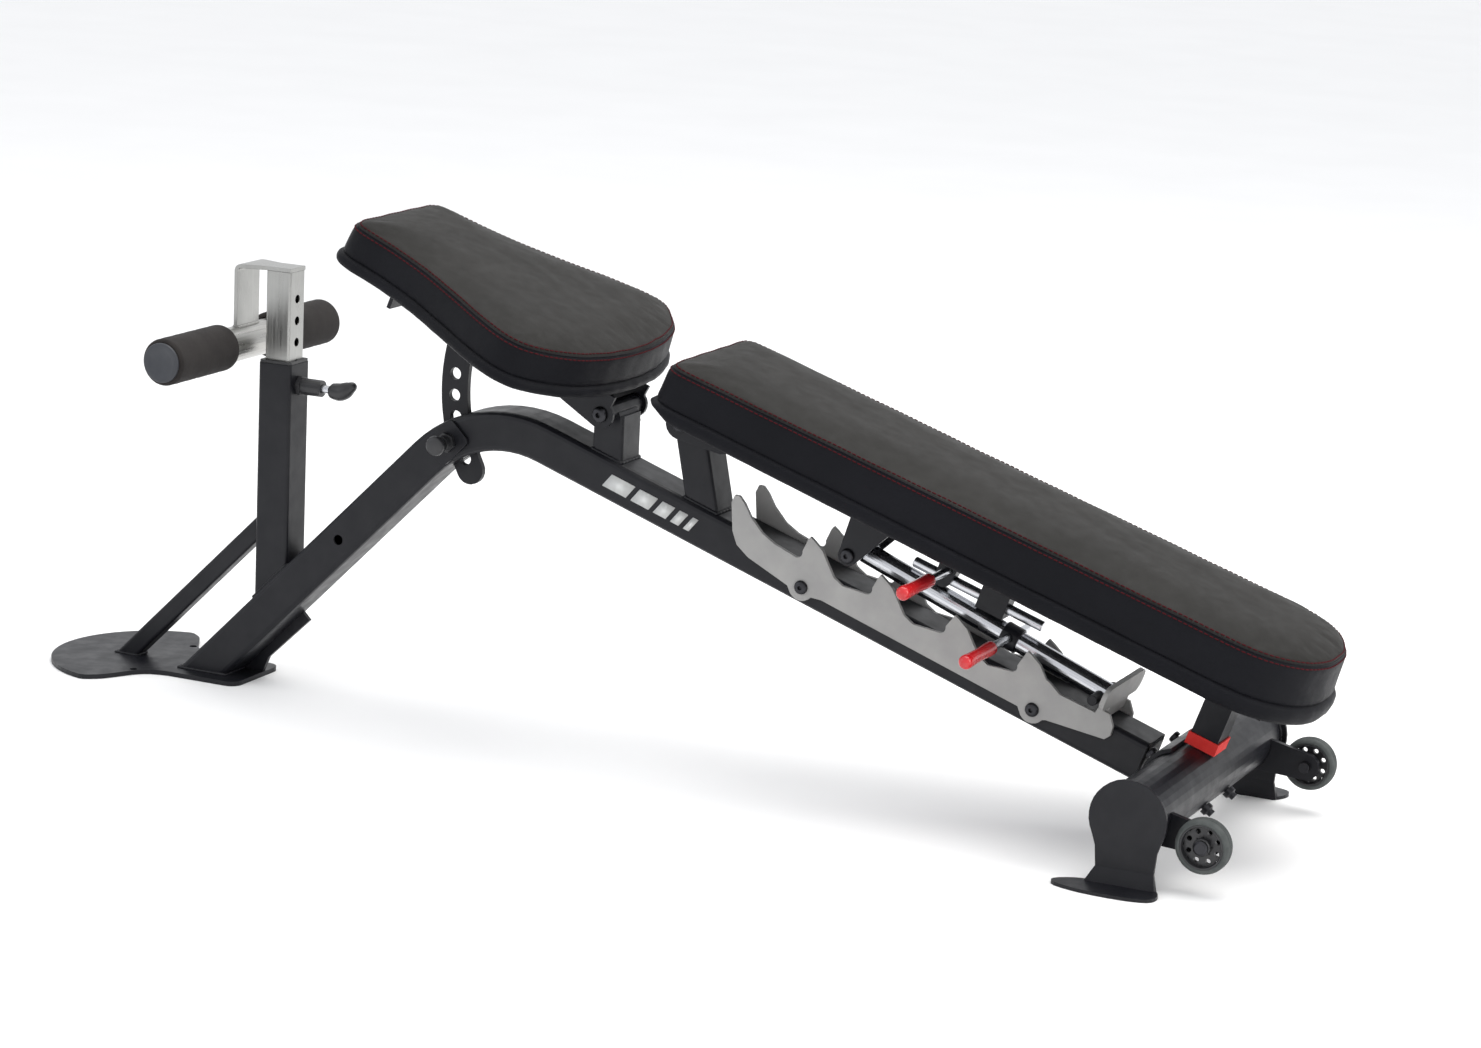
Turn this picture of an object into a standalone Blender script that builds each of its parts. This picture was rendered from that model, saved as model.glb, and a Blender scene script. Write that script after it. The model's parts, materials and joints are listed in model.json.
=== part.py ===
"""Decline sit-up bench: a bent tube frame with a folding seat, a ladder-propped backrest and a leg roller.

Metres, +Z up. +X runs from the leg roller at the front to the transport wheels at the rear, and +Y is
the user's left when lying down with the feet at the roller. The origin is on the floor, under the
middle of the bench. Every piece is drawn in its rest place: backrest fully declined, seat fully raised.
"""

import math

import bmesh
import bpy
from mathutils import Matrix, Vector

GAP = 0.0003  # clearance left between pieces that touch
MIDDLE_X = 0.00825  # X of the middle of the bench, before it is moved over the origin

# Main tube: a rectangular tube bent once, seen from the side as two straight legs.
TUBE_WIDTH = 0.062
TUBE_HEIGHT = 0.049
TUBE_WALL = 0.0025
TUBE_CORNER = 0.007
FRONT_SLOPE = math.radians(45.3)
REAR_SLOPE = math.radians(19.05)
BEND_POINT = Vector((-0.2386, 0.0, 0.3931))  # where the centre lines of the two legs meet
BEND_RADIUS = 0.155
REAR_END_X = 0.638

# Front foot: a mushroom-shaped floor plate.
PLATE_THICK = 0.006
LOBE_CENTRE_X = -0.7105
LOBE_RADIUS = 0.1325
STEM_HALF_WIDTH = 0.055
STEM_END_X = -0.556

# Leg roller post and the square tube that slides in it.
POST_X = -0.528
POST_SIDE = 0.046
POST_WALL = 0.0025
POST_TOP = 0.414
INNER_SIDE = 0.035
INNER_WALL = 0.002
INNER_BOTTOM = 0.272
INNER_TOP = 0.5292
POST_PIN_Z = 0.3858
HOLE_PITCH = 0.0272
HOLE_RADIUS = 0.0055
ROLLER_X = -0.586
ROLLER_Z = 0.4327
ROLLER_RADIUS = 0.022
ROLLER_HALF = 0.1885
FOAM_RADIUS = 0.029
FOAM_INNER_Y = 0.055

# Hinges and pads. Each pad lies in a tilted frame: u runs down the slope, n stands off it.
SEAT_HINGE = Vector((-0.061, 0.0, 0.412))
SEAT_SLOPE = math.radians(20.5)
BACK_HINGE = Vector((0.045, 0.0, 0.414))
BACK_SLOPE = math.radians(18.5)
BARREL_RADIUS = 0.0125
BARREL_HALF = 0.042
HINGE_BOLT_RADIUS = 0.006
CLEVIS_THICK = 0.005
SEAT_PAD_BOTTOM = 0.028
SEAT_PAD_THICK = 0.063
BACK_PAD_BOTTOM = 0.025
BACK_PAD_START = -0.024
BACK_PAD_END = 0.828
BACK_PAD_HALF = 0.1175
BACK_PAD_RISE = 0.020  # how much thicker the pad gets for each metre towards its tail
BOARD_THICK = 0.010
RIM_DEPTH = 0.0085
RIM_WIDTH = 0.018

# Seat adjustment: a plate with a row of holes on an arc about the seat hinge.
ARC_RADIUS = 0.2218
ARC_HALF_WIDTH = 0.018
ARC_HALF_THICK = 0.004
ARC_TOP = math.radians(18.6)
ARC_BOTTOM = math.radians(-27.1)
ARC_STEP = math.radians(6.9)
ARC_HOLE_RADIUS = 0.0077
SEAT_PIN_ANGLE = math.radians(-16.4)

# Ladder: two plates beside the main tube, whose pockets hold the foot bar of the strut.
LADDER_THICK = 0.005
LADDER_Y = TUBE_WIDTH / 2 + GAP + LADDER_THICK / 2
STRUT_PIVOT = Vector((0.2655, 0.0, 0.2837))
STRUT_SLOPE = math.radians(21.66)
STRUT_LENGTH = 0.3445
STRUT_TUBE_RADIUS = 0.0127
STRUT_TUBE_WALL = 0.0022
FOOT_BAR_RADIUS = 0.0063

# Rear foot: a round cross tube between two foot plates, with two wheels behind it.
CROSS_X = 0.690
CROSS_Z = 0.079
CROSS_RADIUS = 0.038
CROSS_WALL = 0.003
CROSS_HALF = 0.2132
FOOT_PLATE_THICK = 0.004
WHEEL_X = 0.772
WHEEL_Z = 0.058
WHEEL_Y = 0.195
WHEEL_RADIUS = 0.0317
WHEEL_HALF = 0.011

ROUND = 32  # sides of a large round piece
SMALL_ROUND = 20  # sides of a bolt or a pin


# ---------------------------------------------------------------- helpers


def clear_scene():
    for obj in list(bpy.data.objects):
        bpy.data.objects.remove(obj, do_unlink=True)


def material(name, colour, roughness, metallic=0.0):
    found = bpy.data.materials.get(name)
    if found:
        return found
    made = bpy.data.materials.new(name)
    made.use_nodes = True
    shader = made.node_tree.nodes["Principled BSDF"]
    shader.inputs["Base Color"].default_value = (*colour, 1.0)
    shader.inputs["Roughness"].default_value = roughness
    shader.inputs["Metallic"].default_value = metallic
    return made


FINISHES = {
    "black_paint": ((0.016, 0.016, 0.018), 0.38, 0.0),
    "grey_paint": ((0.42, 0.42, 0.40), 0.42, 0.3),
    "zinc": ((0.62, 0.61, 0.58), 0.34, 1.0),
    "chrome": ((0.75, 0.76, 0.78), 0.12, 1.0),
    "black_bolt": ((0.03, 0.03, 0.032), 0.35, 0.6),
    "black_vinyl": ((0.03, 0.03, 0.032), 0.55, 0.0),
    "plywood": ((0.03, 0.028, 0.026), 0.8, 0.0),
    "foam": ((0.035, 0.032, 0.032), 0.85, 0.0),
    "black_plastic": ((0.02, 0.02, 0.022), 0.4, 0.0),
    "red_plastic": ((0.55, 0.015, 0.02), 0.3, 0.0),
    "grey_rubber": ((0.09, 0.095, 0.095), 0.7, 0.0),
}


def finish(obj, name):
    obj.data.materials.clear()
    obj.data.materials.append(material(name, *FINISHES[name]))


def mesh_object(name, bm, origin=(0.0, 0.0, 0.0), finish_name=None, hidden=False):
    """Makes an object of a bmesh drawn in world space, with its origin moved to the point given."""
    bmesh.ops.recalc_face_normals(bm, faces=bm.faces)
    bmesh.ops.translate(bm, verts=bm.verts, vec=-Vector(origin))
    mesh = bpy.data.meshes.new(name)
    bm.to_mesh(mesh)
    bm.free()
    mesh.shade_smooth()
    mesh.set_sharp_from_angle(angle=math.radians(35))
    obj = bpy.data.objects.new(name, mesh)
    obj.location = origin
    bpy.context.scene.collection.objects.link(obj)
    if finish_name:
        finish(obj, finish_name)
    if hidden:
        obj.hide_render = True
        obj.display_type = "WIRE"
    return obj


def extruded(outline, half, across="Y", centre=0.0):
    """A closed prism: the outline is (X, Z) points for across Y, (X, Y) for Z and (Y, Z) for X."""
    bm = bmesh.new()
    place = {
        "Y": lambda a, b, c: (a, c, b),
        "Z": lambda a, b, c: (a, b, c),
        "X": lambda a, b, c: (c, a, b),
    }[across]
    low = [bm.verts.new(place(a, b, centre - half)) for a, b in outline]
    high = [bm.verts.new(place(a, b, centre + half)) for a, b in outline]
    bm.faces.new(low)
    bm.faces.new(high)
    for i in range(len(outline)):
        j = (i + 1) % len(outline)
        bm.faces.new((low[i], low[j], high[j], high[i]))
    return bm


def arc_points(centre, radius, start, end, steps):
    """Points of an arc in the plane of an outline, from one angle to the other, both included."""
    return [
        (
            centre[0] + radius * math.cos(start + (end - start) * i / steps),
            centre[1] + radius * math.sin(start + (end - start) * i / steps),
        )
        for i in range(steps + 1)
    ]


def rounded_outline(corners, radius, steps=4):
    """A closed outline with each corner rounded; radius is a number or one number for each corner."""
    points = []
    count = len(corners)
    for i, corner in enumerate(corners):
        size = radius[i] if isinstance(radius, (list, tuple)) else radius
        here = Vector(corner)
        before = (Vector(corners[i - 1]) - here).normalized()
        after = (Vector(corners[(i + 1) % count]) - here).normalized()
        if size <= 0:
            points.append(tuple(here))
            continue
        half = before.angle(after) / 2
        reach = size / math.tan(half)
        middle = here + (before + after).normalized() * (size / math.sin(half))
        start = here + before * reach - middle
        finish = here + after * reach - middle
        turn = math.atan2(start.cross(finish), start.dot(finish))
        first = math.atan2(start.y, start.x)
        points += arc_points(middle, size, first, first + turn, steps)
    return points


def rectangle(width, height, corner, steps=3):
    a, b = width / 2, height / 2
    return rounded_outline([(-a, -b), (a, -b), (a, b), (-a, b)], corner, steps)


def lathe(profile, base, axis, sides=ROUND):
    """Turns a closed (radius, distance) profile round an axis that starts at the base point."""
    bm = bmesh.new()
    axis = Vector(axis).normalized()
    side = axis.orthogonal().normalized()
    other = axis.cross(side)
    rings = []
    for radius, along in profile:
        centre = Vector(base) + axis * along
        if radius < 1e-7:
            rings.append([bm.verts.new(centre)])
            continue
        rings.append(
            [
                bm.verts.new(
                    centre
                    + side * radius * math.cos(2 * math.pi * k / sides)
                    + other * radius * math.sin(2 * math.pi * k / sides)
                )
                for k in range(sides)
            ]
        )
    solid_of_turn = profile[0][0] < 1e-7
    pairs = list(zip(rings, rings[1:] if solid_of_turn else rings[1:] + rings[:1]))
    for a, b in pairs:
        for k in range(sides):
            j = (k + 1) % sides
            if len(a) == 1 and len(b) == 1:
                continue
            if len(a) == 1:
                bm.faces.new((a[0], b[j], b[k]))
            elif len(b) == 1:
                bm.faces.new((a[k], a[j], b[0]))
            else:
                bm.faces.new((a[k], a[j], b[j], b[k]))
    return bm


def rod(base, axis, length, radius, sides=SMALL_ROUND, chamfer=0.0):
    if chamfer:
        profile = [
            (0, 0),
            (radius - chamfer, 0),
            (radius, chamfer),
            (radius, length - chamfer),
            (radius - chamfer, length),
            (0, length),
        ]
    else:
        profile = [(0, 0), (radius, 0), (radius, length), (0, length)]
    return lathe(profile, base, axis, sides)


def pipe(base, axis, length, outer, inner, sides=ROUND):
    return lathe([(inner, 0), (outer, 0), (outer, length), (inner, length)], base, axis, sides)


def swept_tube(stations, outer, inner):
    """A hollow tube through stations, each (centre, side, up); outer and inner are matching outlines."""
    bm = bmesh.new()
    rings = []
    for centre, side, up in stations:
        pair = []
        for outline in (outer, inner):
            pair.append([bm.verts.new(centre + side * a + up * b) for a, b in outline])
        rings.append(pair)
    count = len(outer)
    for (outer_a, inner_a), (outer_b, inner_b) in zip(rings, rings[1:]):
        for k in range(count):
            j = (k + 1) % count
            bm.faces.new((outer_a[k], outer_a[j], outer_b[j], outer_b[k]))
            bm.faces.new((inner_a[j], inner_a[k], inner_b[k], inner_b[j]))
    for outer_end, inner_end in (rings[0], rings[-1]):
        for k in range(count):
            j = (k + 1) % count
            bm.faces.new((outer_end[k], outer_end[j], inner_end[j], inner_end[k]))
    return bm


def boolean(obj, other_bm, operation="DIFFERENCE", name="cutter"):
    """Cuts a bmesh from an object, or joins it to the object, and applies the result."""
    tool = mesh_object(f"{obj.name}_{name}", other_bm, hidden=True)
    modifier = obj.modifiers.new(name, "BOOLEAN")
    modifier.operation = operation
    modifier.solver = "EXACT"
    modifier.object = tool
    bpy.context.view_layer.update()
    graph = bpy.context.evaluated_depsgraph_get()
    made = bpy.data.meshes.new_from_object(obj.evaluated_get(graph))
    obj.modifiers.remove(modifier)
    old = obj.data
    obj.data = made
    made.name = old.name
    bpy.data.meshes.remove(old)
    bpy.data.objects.remove(tool, do_unlink=True)


def join(obj, *others):
    for i, other in enumerate(others):
        boolean(obj, other, "UNION", f"join_{i}")


def cut(obj, *others):
    for i, other in enumerate(others):
        boolean(obj, other, "DIFFERENCE", f"cut_{i}")


def cross_pin(x, z, radius, low, high, sides=SMALL_ROUND):
    """A round bar across the bench at (x, z), from one Y to the other."""
    return rod((x, low, z), (0, 1, 0), high - low, radius, sides)


# ---------------------------------------------------------------- geometry of the main tube


def leg_directions():
    """Unit vectors along the tube towards the rear, on the front leg and on the rear leg."""
    front = Vector((math.cos(FRONT_SLOPE), 0, math.sin(FRONT_SLOPE)))
    rear = Vector((math.cos(REAR_SLOPE), 0, -math.sin(REAR_SLOPE)))
    return front, rear


def rear_leg_height(x, offset=0.0):
    """Z of the rear leg's centre line at x, moved square to the leg by the offset."""
    base = BEND_POINT.z - (x - BEND_POINT.x) * math.tan(REAR_SLOPE)
    return base + offset / math.cos(REAR_SLOPE)


def tube_stations():
    front, rear = leg_directions()
    turn = FRONT_SLOPE + REAR_SLOPE
    reach = BEND_RADIUS * math.tan(turn / 2)
    start = BEND_POINT - front * reach
    centre = start + Vector((math.sin(FRONT_SLOPE), 0, -math.cos(FRONT_SLOPE))) * BEND_RADIUS
    side = Vector((0, 1, 0))
    stations = []
    steps = 12
    for i in range(steps + 1):
        angle = FRONT_SLOPE - turn * i / steps
        up = Vector((-math.sin(angle), 0, math.cos(angle)))
        stations.append((centre + up * BEND_RADIUS, side, up))
    up = stations[-1][2]
    end = BEND_POINT + rear * ((REAR_END_X - BEND_POINT.x) / math.cos(REAR_SLOPE))
    stations.append((end, side, up))
    return stations


def main_tube():
    outer = rectangle(TUBE_WIDTH, TUBE_HEIGHT, TUBE_CORNER)
    inner = rectangle(TUBE_WIDTH - 2 * TUBE_WALL, TUBE_HEIGHT - 2 * TUBE_WALL, TUBE_CORNER - TUBE_WALL)
    stations = tube_stations()
    front, _ = leg_directions()
    bottom_z = PLATE_THICK + GAP
    first, side, up = stations[0]
    # The front leg stands on the floor plate, so its end is cut level: each edge runs down to one height.
    drop = (first.z - bottom_z) / front.z
    level_up = up + front * (-up.z / front.z)
    stations.insert(0, (first - front * drop, side, level_up))
    obj = mesh_object("main_tube", swept_tube(stations, outer, inner), finish_name="black_paint")
    arc = arc_sector(ARC_HALF_WIDTH + 0.002, math.radians(2), math.radians(-36), ARC_HALF_THICK + 0.0015)
    pin = pin_point()
    small = 0.0065
    cut(
        obj,
        arc,
        cross_pin(pin.x, pin.z, 0.0068, -0.05, -0.01),
        cross_pin(*LEG_HOLE, small, -0.05, 0.05),
        *(cross_pin(x, z, LADDER_BOLT_RADIUS + GAP, -0.05, 0.05) for x, z in LADDER_BOLTS),
    )
    return obj


LEG_HOLE = (-0.4258, 0.2049)
LADDER_BOLTS = ((0.2066, 0.2365), (0.5044, 0.1342))
LADDER_BOLT_RADIUS = 0.004


def pin_point():
    """Where the seat's pull pin crosses the arc plate."""
    return SEAT_HINGE + Vector((-math.cos(SEAT_PIN_ANGLE), 0, math.sin(SEAT_PIN_ANGLE))) * ARC_RADIUS


def arc_sector(half_width, top, bottom, half_thick, rounded=False):
    """A plate that follows the arc about the seat hinge, from its top angle down to its bottom angle."""
    steps = 14
    hinge = (SEAT_HINGE.x, SEAT_HINGE.z)
    outer = arc_points(hinge, ARC_RADIUS + half_width, math.pi - top, math.pi - bottom, steps)
    inner = arc_points(hinge, ARC_RADIUS - half_width, math.pi - bottom, math.pi - top, steps)
    end = []
    if rounded:
        middle = arc_points(hinge, ARC_RADIUS, math.pi - bottom, math.pi - bottom, 1)[0]
        first = math.pi - bottom
        end = arc_points(middle, half_width, first, first + math.pi, 10)[1:-1]
    return extruded(outer + end + inner, half_thick)


# ---------------------------------------------------------------- front foot and leg post


def floor_plate():
    """Mushroom outline: a wide round lobe at the front, a narrow stem back under the leg."""
    corner = 0.014
    shoulder = math.radians(76)
    lobe = arc_points((LOBE_CENTRE_X, 0), LOBE_RADIUS, math.pi, math.pi - shoulder, 14)
    tip = Vector(lobe[-1])
    inward = Vector((math.cos(math.pi - shoulder), math.sin(math.pi - shoulder)))
    end_centre = tip - inward * corner
    lobe += arc_points(end_centre, corner, math.atan2(inward.y, inward.x), math.radians(50), 5)[1:]
    last = lobe[-1]
    waist = [last, (-0.7165, 0.1140), (-0.7045, 0.0940), (-0.6930, 0.0735), (-0.6780, 0.0605)]
    half = lobe + spline(waist + [(-0.6550, STEM_HALF_WIDTH)], 3)[1:]
    half += arc_points((STEM_END_X - 0.016, STEM_HALF_WIDTH - 0.016), 0.016, math.radians(90), 0, 5)
    outline = half + [(x, -y) for x, y in reversed(half[1:])]
    bm = extruded(outline, PLATE_THICK / 2, "Z", PLATE_THICK / 2)
    obj = mesh_object("floor_plate", bm, finish_name="black_paint")
    for y in (-0.070, 0.070):
        cut(obj, rod((-0.698, y, -0.01), (0, 0, 1), 0.03, 0.005))
    return obj


def foot_gusset():
    """A small web under the front leg, standing on the stem of the floor plate."""
    _, _, up = tube_stations()[0]
    front, _ = leg_directions()
    underside = BEND_POINT - up * (TUBE_HEIGHT / 2 + GAP)

    def below(z, extra=0.0):
        point = underside + front * ((z - underside.z) / front.z) - up * extra
        return (point.x, point.z)

    base = PLATE_THICK + GAP
    low = below(base)
    outline = [low, below(0.092), below(0.092, 0.014), below(0.034, 0.012), (low[0] + 0.028, base)]
    return mesh_object("foot_gusset", extruded(outline, 0.003, "Y", 0.018), finish_name="black_paint")


def square_section(side, wall, corner):
    outer = rectangle(side, side, corner)
    inner = rectangle(side - 2 * wall, side - 2 * wall, max(corner - wall, 0.001))
    return outer, inner


def leg_post():
    outer, inner = square_section(POST_SIDE, POST_WALL, 0.004)
    across, along = Vector((1, 0, 0)), Vector((0, 1, 0))
    # The post stands on the sloping top of the front leg, so its foot is cut to that slope.
    _, _, up = tube_stations()[0]
    on_leg = BEND_POINT + up * (TUBE_HEIGHT / 2 + GAP)
    slope = math.tan(FRONT_SLOPE)
    foot_z = on_leg.z + (POST_X - on_leg.x) * slope
    tilted = Vector((1, 0, slope))
    stations = [
        (Vector((POST_X, 0, foot_z)), tilted, along),
        (Vector((POST_X, 0, POST_TOP)), across, along),
    ]
    obj = mesh_object("leg_post", swept_tube(stations, outer, inner), finish_name="black_paint")
    cut(obj, rod((POST_X, 0, POST_PIN_Z), (1, 0, 0), 0.05, 0.0068))
    return obj


def foot_brace():
    """A thin square tube from the floor plate up to the front face of the post."""
    side = 0.023
    outer, inner = square_section(side, 0.002, 0.0035)
    slope = math.radians(45)
    along = Vector((math.cos(slope), 0, math.sin(slope)))
    up = Vector((-math.sin(slope), 0, math.cos(slope)))
    middle = Vector((-0.645, 0, 0.1087))
    base = PLATE_THICK + GAP
    face_x = POST_X - POST_SIDE / 2 - GAP
    low = middle - along * ((middle.z - base) / along.z)
    high = middle + along * ((face_x - middle.x) / along.x)
    stations = [
        (low, Vector((0, 1, 0)), up - along * (up.z / along.z)),
        (high, Vector((0, 1, 0)), up - along * (up.x / along.x)),
    ]
    return mesh_object("foot_brace", swept_tube(stations, outer, inner), finish_name="black_paint")


def post_sleeve():
    """Plastic guide between the post and the sliding tube, with a lip on top of the post."""
    clear = 2 * GAP
    outside = POST_SIDE - 2 * POST_WALL - clear
    inside = INNER_SIDE + clear
    outer = rectangle(outside, outside, 0.002)
    inner = rectangle(inside, inside, 0.0035)
    across, along = Vector((1, 0, 0)), Vector((0, 1, 0))
    stations = [(Vector((POST_X, 0, z)), across, along) for z in (POST_TOP - 0.10, POST_TOP + 0.002)]
    obj = mesh_object("post_sleeve", swept_tube(stations, outer, inner), finish_name="black_plastic")
    lip_outer = rectangle(POST_SIDE - 0.001, POST_SIDE - 0.001, 0.004)
    lip_stations = [(Vector((POST_X, 0, z)), across, along) for z in (POST_TOP + GAP, POST_TOP + 0.0035)]
    join(obj, swept_tube(lip_stations, lip_outer, rectangle(inside + 0.0006, inside + 0.0006, 0.0035)))
    cut(obj, rod((POST_X, 0, POST_PIN_Z), (1, 0, 0), 0.05, 0.0068))
    return obj


def inner_post():
    outer, inner = square_section(INNER_SIDE, INNER_WALL, 0.003)
    across, along = Vector((1, 0, 0)), Vector((0, 1, 0))
    stations = [(Vector((POST_X, 0, z)), across, along) for z in (INNER_BOTTOM, INNER_TOP)]
    obj = mesh_object(
        "inner_post", swept_tube(stations, outer, inner), (POST_X, 0, INNER_BOTTOM), "zinc"
    )
    for step in range(-3, 5):
        height = POST_PIN_Z + step * HOLE_PITCH
        cut(obj, rod((POST_X + 0.005, 0, height), (1, 0, 0), 0.03, HOLE_RADIUS, 16))
    return obj


def roller_bracket():
    """Bent flat bar: a level top on the sliding tube, then a flange down to the roller tube."""
    thick = 0.005
    top = INNER_TOP + GAP + thick
    front = ROLLER_X - 0.0008
    rear = POST_X + INNER_SIDE / 2
    flange_end = ROLLER_Z + math.sqrt(ROLLER_RADIUS**2 - 0.005**2) + 2 * GAP
    bend = 0.009
    outside = arc_points((front + bend, top - bend), bend, math.pi / 2, math.pi, 5)
    inside = arc_points((front + bend, top - bend), bend - thick, math.pi, math.pi / 2, 5)
    outline = (
        [(rear, top)]
        + outside
        + [(front, flange_end), (front + thick, flange_end)]
        + inside
        + [(rear, top - thick)]
    )
    wide = 0.0255
    obj = mesh_object("roller_bracket", extruded(outline, wide), (front, 0, top), "zinc")
    narrow = INNER_SIDE / 2
    for sign in (-1, 1):
        wedge = [
            (rear + 0.01, sign * (narrow + 0.0001)),
            (rear + 0.01, sign * 0.06),
            (front + 0.014, sign * 0.06),
            (front + 0.014, sign * wide),
            (rear - INNER_SIDE, sign * narrow),
        ]
        cut(obj, extruded(wedge, 0.02, "Z", top))
    return obj


def roller_tube():
    inner = ROLLER_RADIUS - 0.002
    bm = pipe((ROLLER_X, -ROLLER_HALF, ROLLER_Z), (0, 1, 0), 2 * ROLLER_HALF, ROLLER_RADIUS, inner)
    return mesh_object("roller_tube", bm, (ROLLER_X, 0, ROLLER_Z), "zinc")


def roller_cap(name, sign):
    plug = ROLLER_RADIUS - 0.002 - GAP
    face = ROLLER_HALF + GAP
    profile = [
        (0, face - 0.015),
        (plug, face - 0.015),
        (plug, face),
        (0.0245, face),
        (0.0245, face + 0.0015),
        (0.022, face + 0.003),
        (0, face + 0.003),
    ]
    bm = lathe(profile, (ROLLER_X, 0, ROLLER_Z), (0, sign, 0))
    return mesh_object(name, bm, (ROLLER_X, 0, ROLLER_Z), "black_plastic")


def foam_grip(name, sign):
    bore = ROLLER_RADIUS + GAP
    soft = 0.004
    end = ROLLER_HALF - GAP
    profile = [
        (bore, FOAM_INNER_Y),
        (FOAM_RADIUS - soft, FOAM_INNER_Y),
        (FOAM_RADIUS - soft * 0.3, FOAM_INNER_Y + soft * 0.3),
        (FOAM_RADIUS, FOAM_INNER_Y + soft),
        (FOAM_RADIUS, end - soft),
        (FOAM_RADIUS - soft * 0.3, end - soft * 0.3),
        (FOAM_RADIUS - soft, end),
        (bore, end),
    ]
    bm = lathe(profile, (ROLLER_X, 0, ROLLER_Z), (0, sign, 0))
    return mesh_object(name, bm, (ROLLER_X, 0, ROLLER_Z), "foam")


# ---------------------------------------------------------------- pull pins


def pin_barrel(name, base, axis, length, radius):
    """The threaded housing of a pull pin, hollow for its plunger, with a hexagon at its foot."""
    bore = 0.0056
    bm = pipe(base, axis, length, radius, bore, SMALL_ROUND)
    obj = mesh_object(name, bm, base, "black_plastic")
    nut = pipe(base, axis, 0.006, radius + 0.003, bore + 0.0004, 6)
    join(obj, nut)
    return obj


def pin_plunger(name, base, axis, tip, tail):
    """A chrome pin along the axis from the tip to the tail, both measured from the base."""
    chamfer = 0.001
    profile = [
        (0, tip),
        (0.005 - chamfer, tip),
        (0.005, tip + chamfer),
        (0.005, tail),
        (0, tail),
    ]
    return mesh_object(name, lathe(profile, base, axis, SMALL_ROUND), base, "chrome")


def pin_knob(name, base, axis, start, length, radius):
    """A turned knob with a waist, bored for the plunger's end."""
    profile = [
        (0, start),
        (radius * 0.62, start),
        (radius * 0.74, start + length * 0.12),
        (radius * 0.70, start + length * 0.32),
        (radius, start + length * 0.62),
        (radius, start + length * 0.84),
        (radius * 0.8, start + length * 0.97),
        (0, start + length),
    ]
    return mesh_object(name, lathe(profile, base, axis, 24), base, "black_plastic")


POST_FACE = POST_X + POST_SIDE / 2
POST_BARREL_LENGTH = 0.033
SEAT_BARREL_LENGTH = 0.016


def post_pin():
    base = (POST_FACE, 0, POST_PIN_Z)
    axis = (1, 0, 0)
    barrel_start = (POST_FACE + GAP, 0, POST_PIN_Z)
    pin_barrel("post_pin_barrel", barrel_start, axis, POST_BARREL_LENGTH, 0.0105)
    tail = POST_BARREL_LENGTH + 0.011
    pin_plunger("post_pin_plunger", base, axis, -0.0047, tail)
    pin_knob("post_pin_knob", base, axis, tail + GAP, 0.030, 0.0105)


def seat_pin():
    pin = pin_point()
    face = -TUBE_WIDTH / 2
    axis = (0, -1, 0)
    bracket = 0.004
    corner = Vector((pin.x, 0, pin.z))
    front, _ = leg_directions()
    up = Vector((-front.z, 0, front.x))
    outline = []
    for a, b in rounded_outline([(-0.026, -0.019), (0.024, -0.019), (0.024, 0.019), (-0.026, 0.019)], 0.007):
        point = corner + front * a + up * b
        outline.append((point.x, point.z))
    obj = mesh_object(
        "seat_pin_bracket",
        extruded(outline, bracket / 2, "Y", face - GAP - bracket / 2),
        (0, 0, 0),
        "black_paint",
    )
    cut(obj, cross_pin(pin.x, pin.z, 0.0068, -0.05, -0.01))
    start = face - GAP - bracket - GAP
    pin_barrel("seat_pin_barrel", (pin.x, start, pin.z), axis, SEAT_BARREL_LENGTH, 0.0095)
    base = (pin.x, start, pin.z)
    tail = SEAT_BARREL_LENGTH + 0.002
    pin_plunger("seat_pin_plunger", base, axis, start + 0.0050, tail)
    pin_knob("seat_pin_knob", base, axis, tail + GAP, 0.016, 0.0125)


# ---------------------------------------------------------------- uprights


def upright(name, hinge, width, depth, lean):
    """A rectangular tube from the rear leg up to a hinge barrel welded across its top."""
    outer = rectangle(width, depth, 0.004)
    inner = rectangle(width - 0.005, depth - 0.005, 0.002)
    along = Vector((-math.sin(lean), 0, math.cos(lean)))
    across = Vector((math.cos(lean), 0, math.sin(lean)))
    side = Vector((0, 1, 0))
    # The foot follows the slope of the rear leg.
    _, rear = leg_directions()
    top_line = TUBE_HEIGHT / 2 + GAP
    foot = Vector(hinge)
    for _ in range(3):
        foot = foot + along * ((rear_leg_height(foot.x, top_line) - foot.z) / along.z)
    foot_across = rear * (1 / rear.dot(across))
    stations = [
        (foot, foot_across, side),
        (Vector(hinge) - along * 0.004, across, side),
    ]
    obj = mesh_object(name, swept_tube(stations, outer, inner), hinge, "black_paint")
    barrel = rod((hinge.x, -BARREL_HALF, hinge.z), (0, 1, 0), 2 * BARREL_HALF, BARREL_RADIUS)
    saddle_outline = []
    half = width / 2
    for a, b in (
        (-half + 0.0005, -0.016),
        (half - 0.0005, -0.016),
        (half - 0.006, 0.0),
        (-half + 0.006, 0.0),
    ):
        point = Vector(hinge) + across * a + along * b
        saddle_outline.append((point.x, point.z))
    join(obj, extruded(saddle_outline, depth / 2 - 0.0005), barrel)
    bore = HINGE_BOLT_RADIUS + GAP
    cut(obj, cross_pin(hinge.x, hinge.z, bore, -0.08, 0.08))
    return obj


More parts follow.
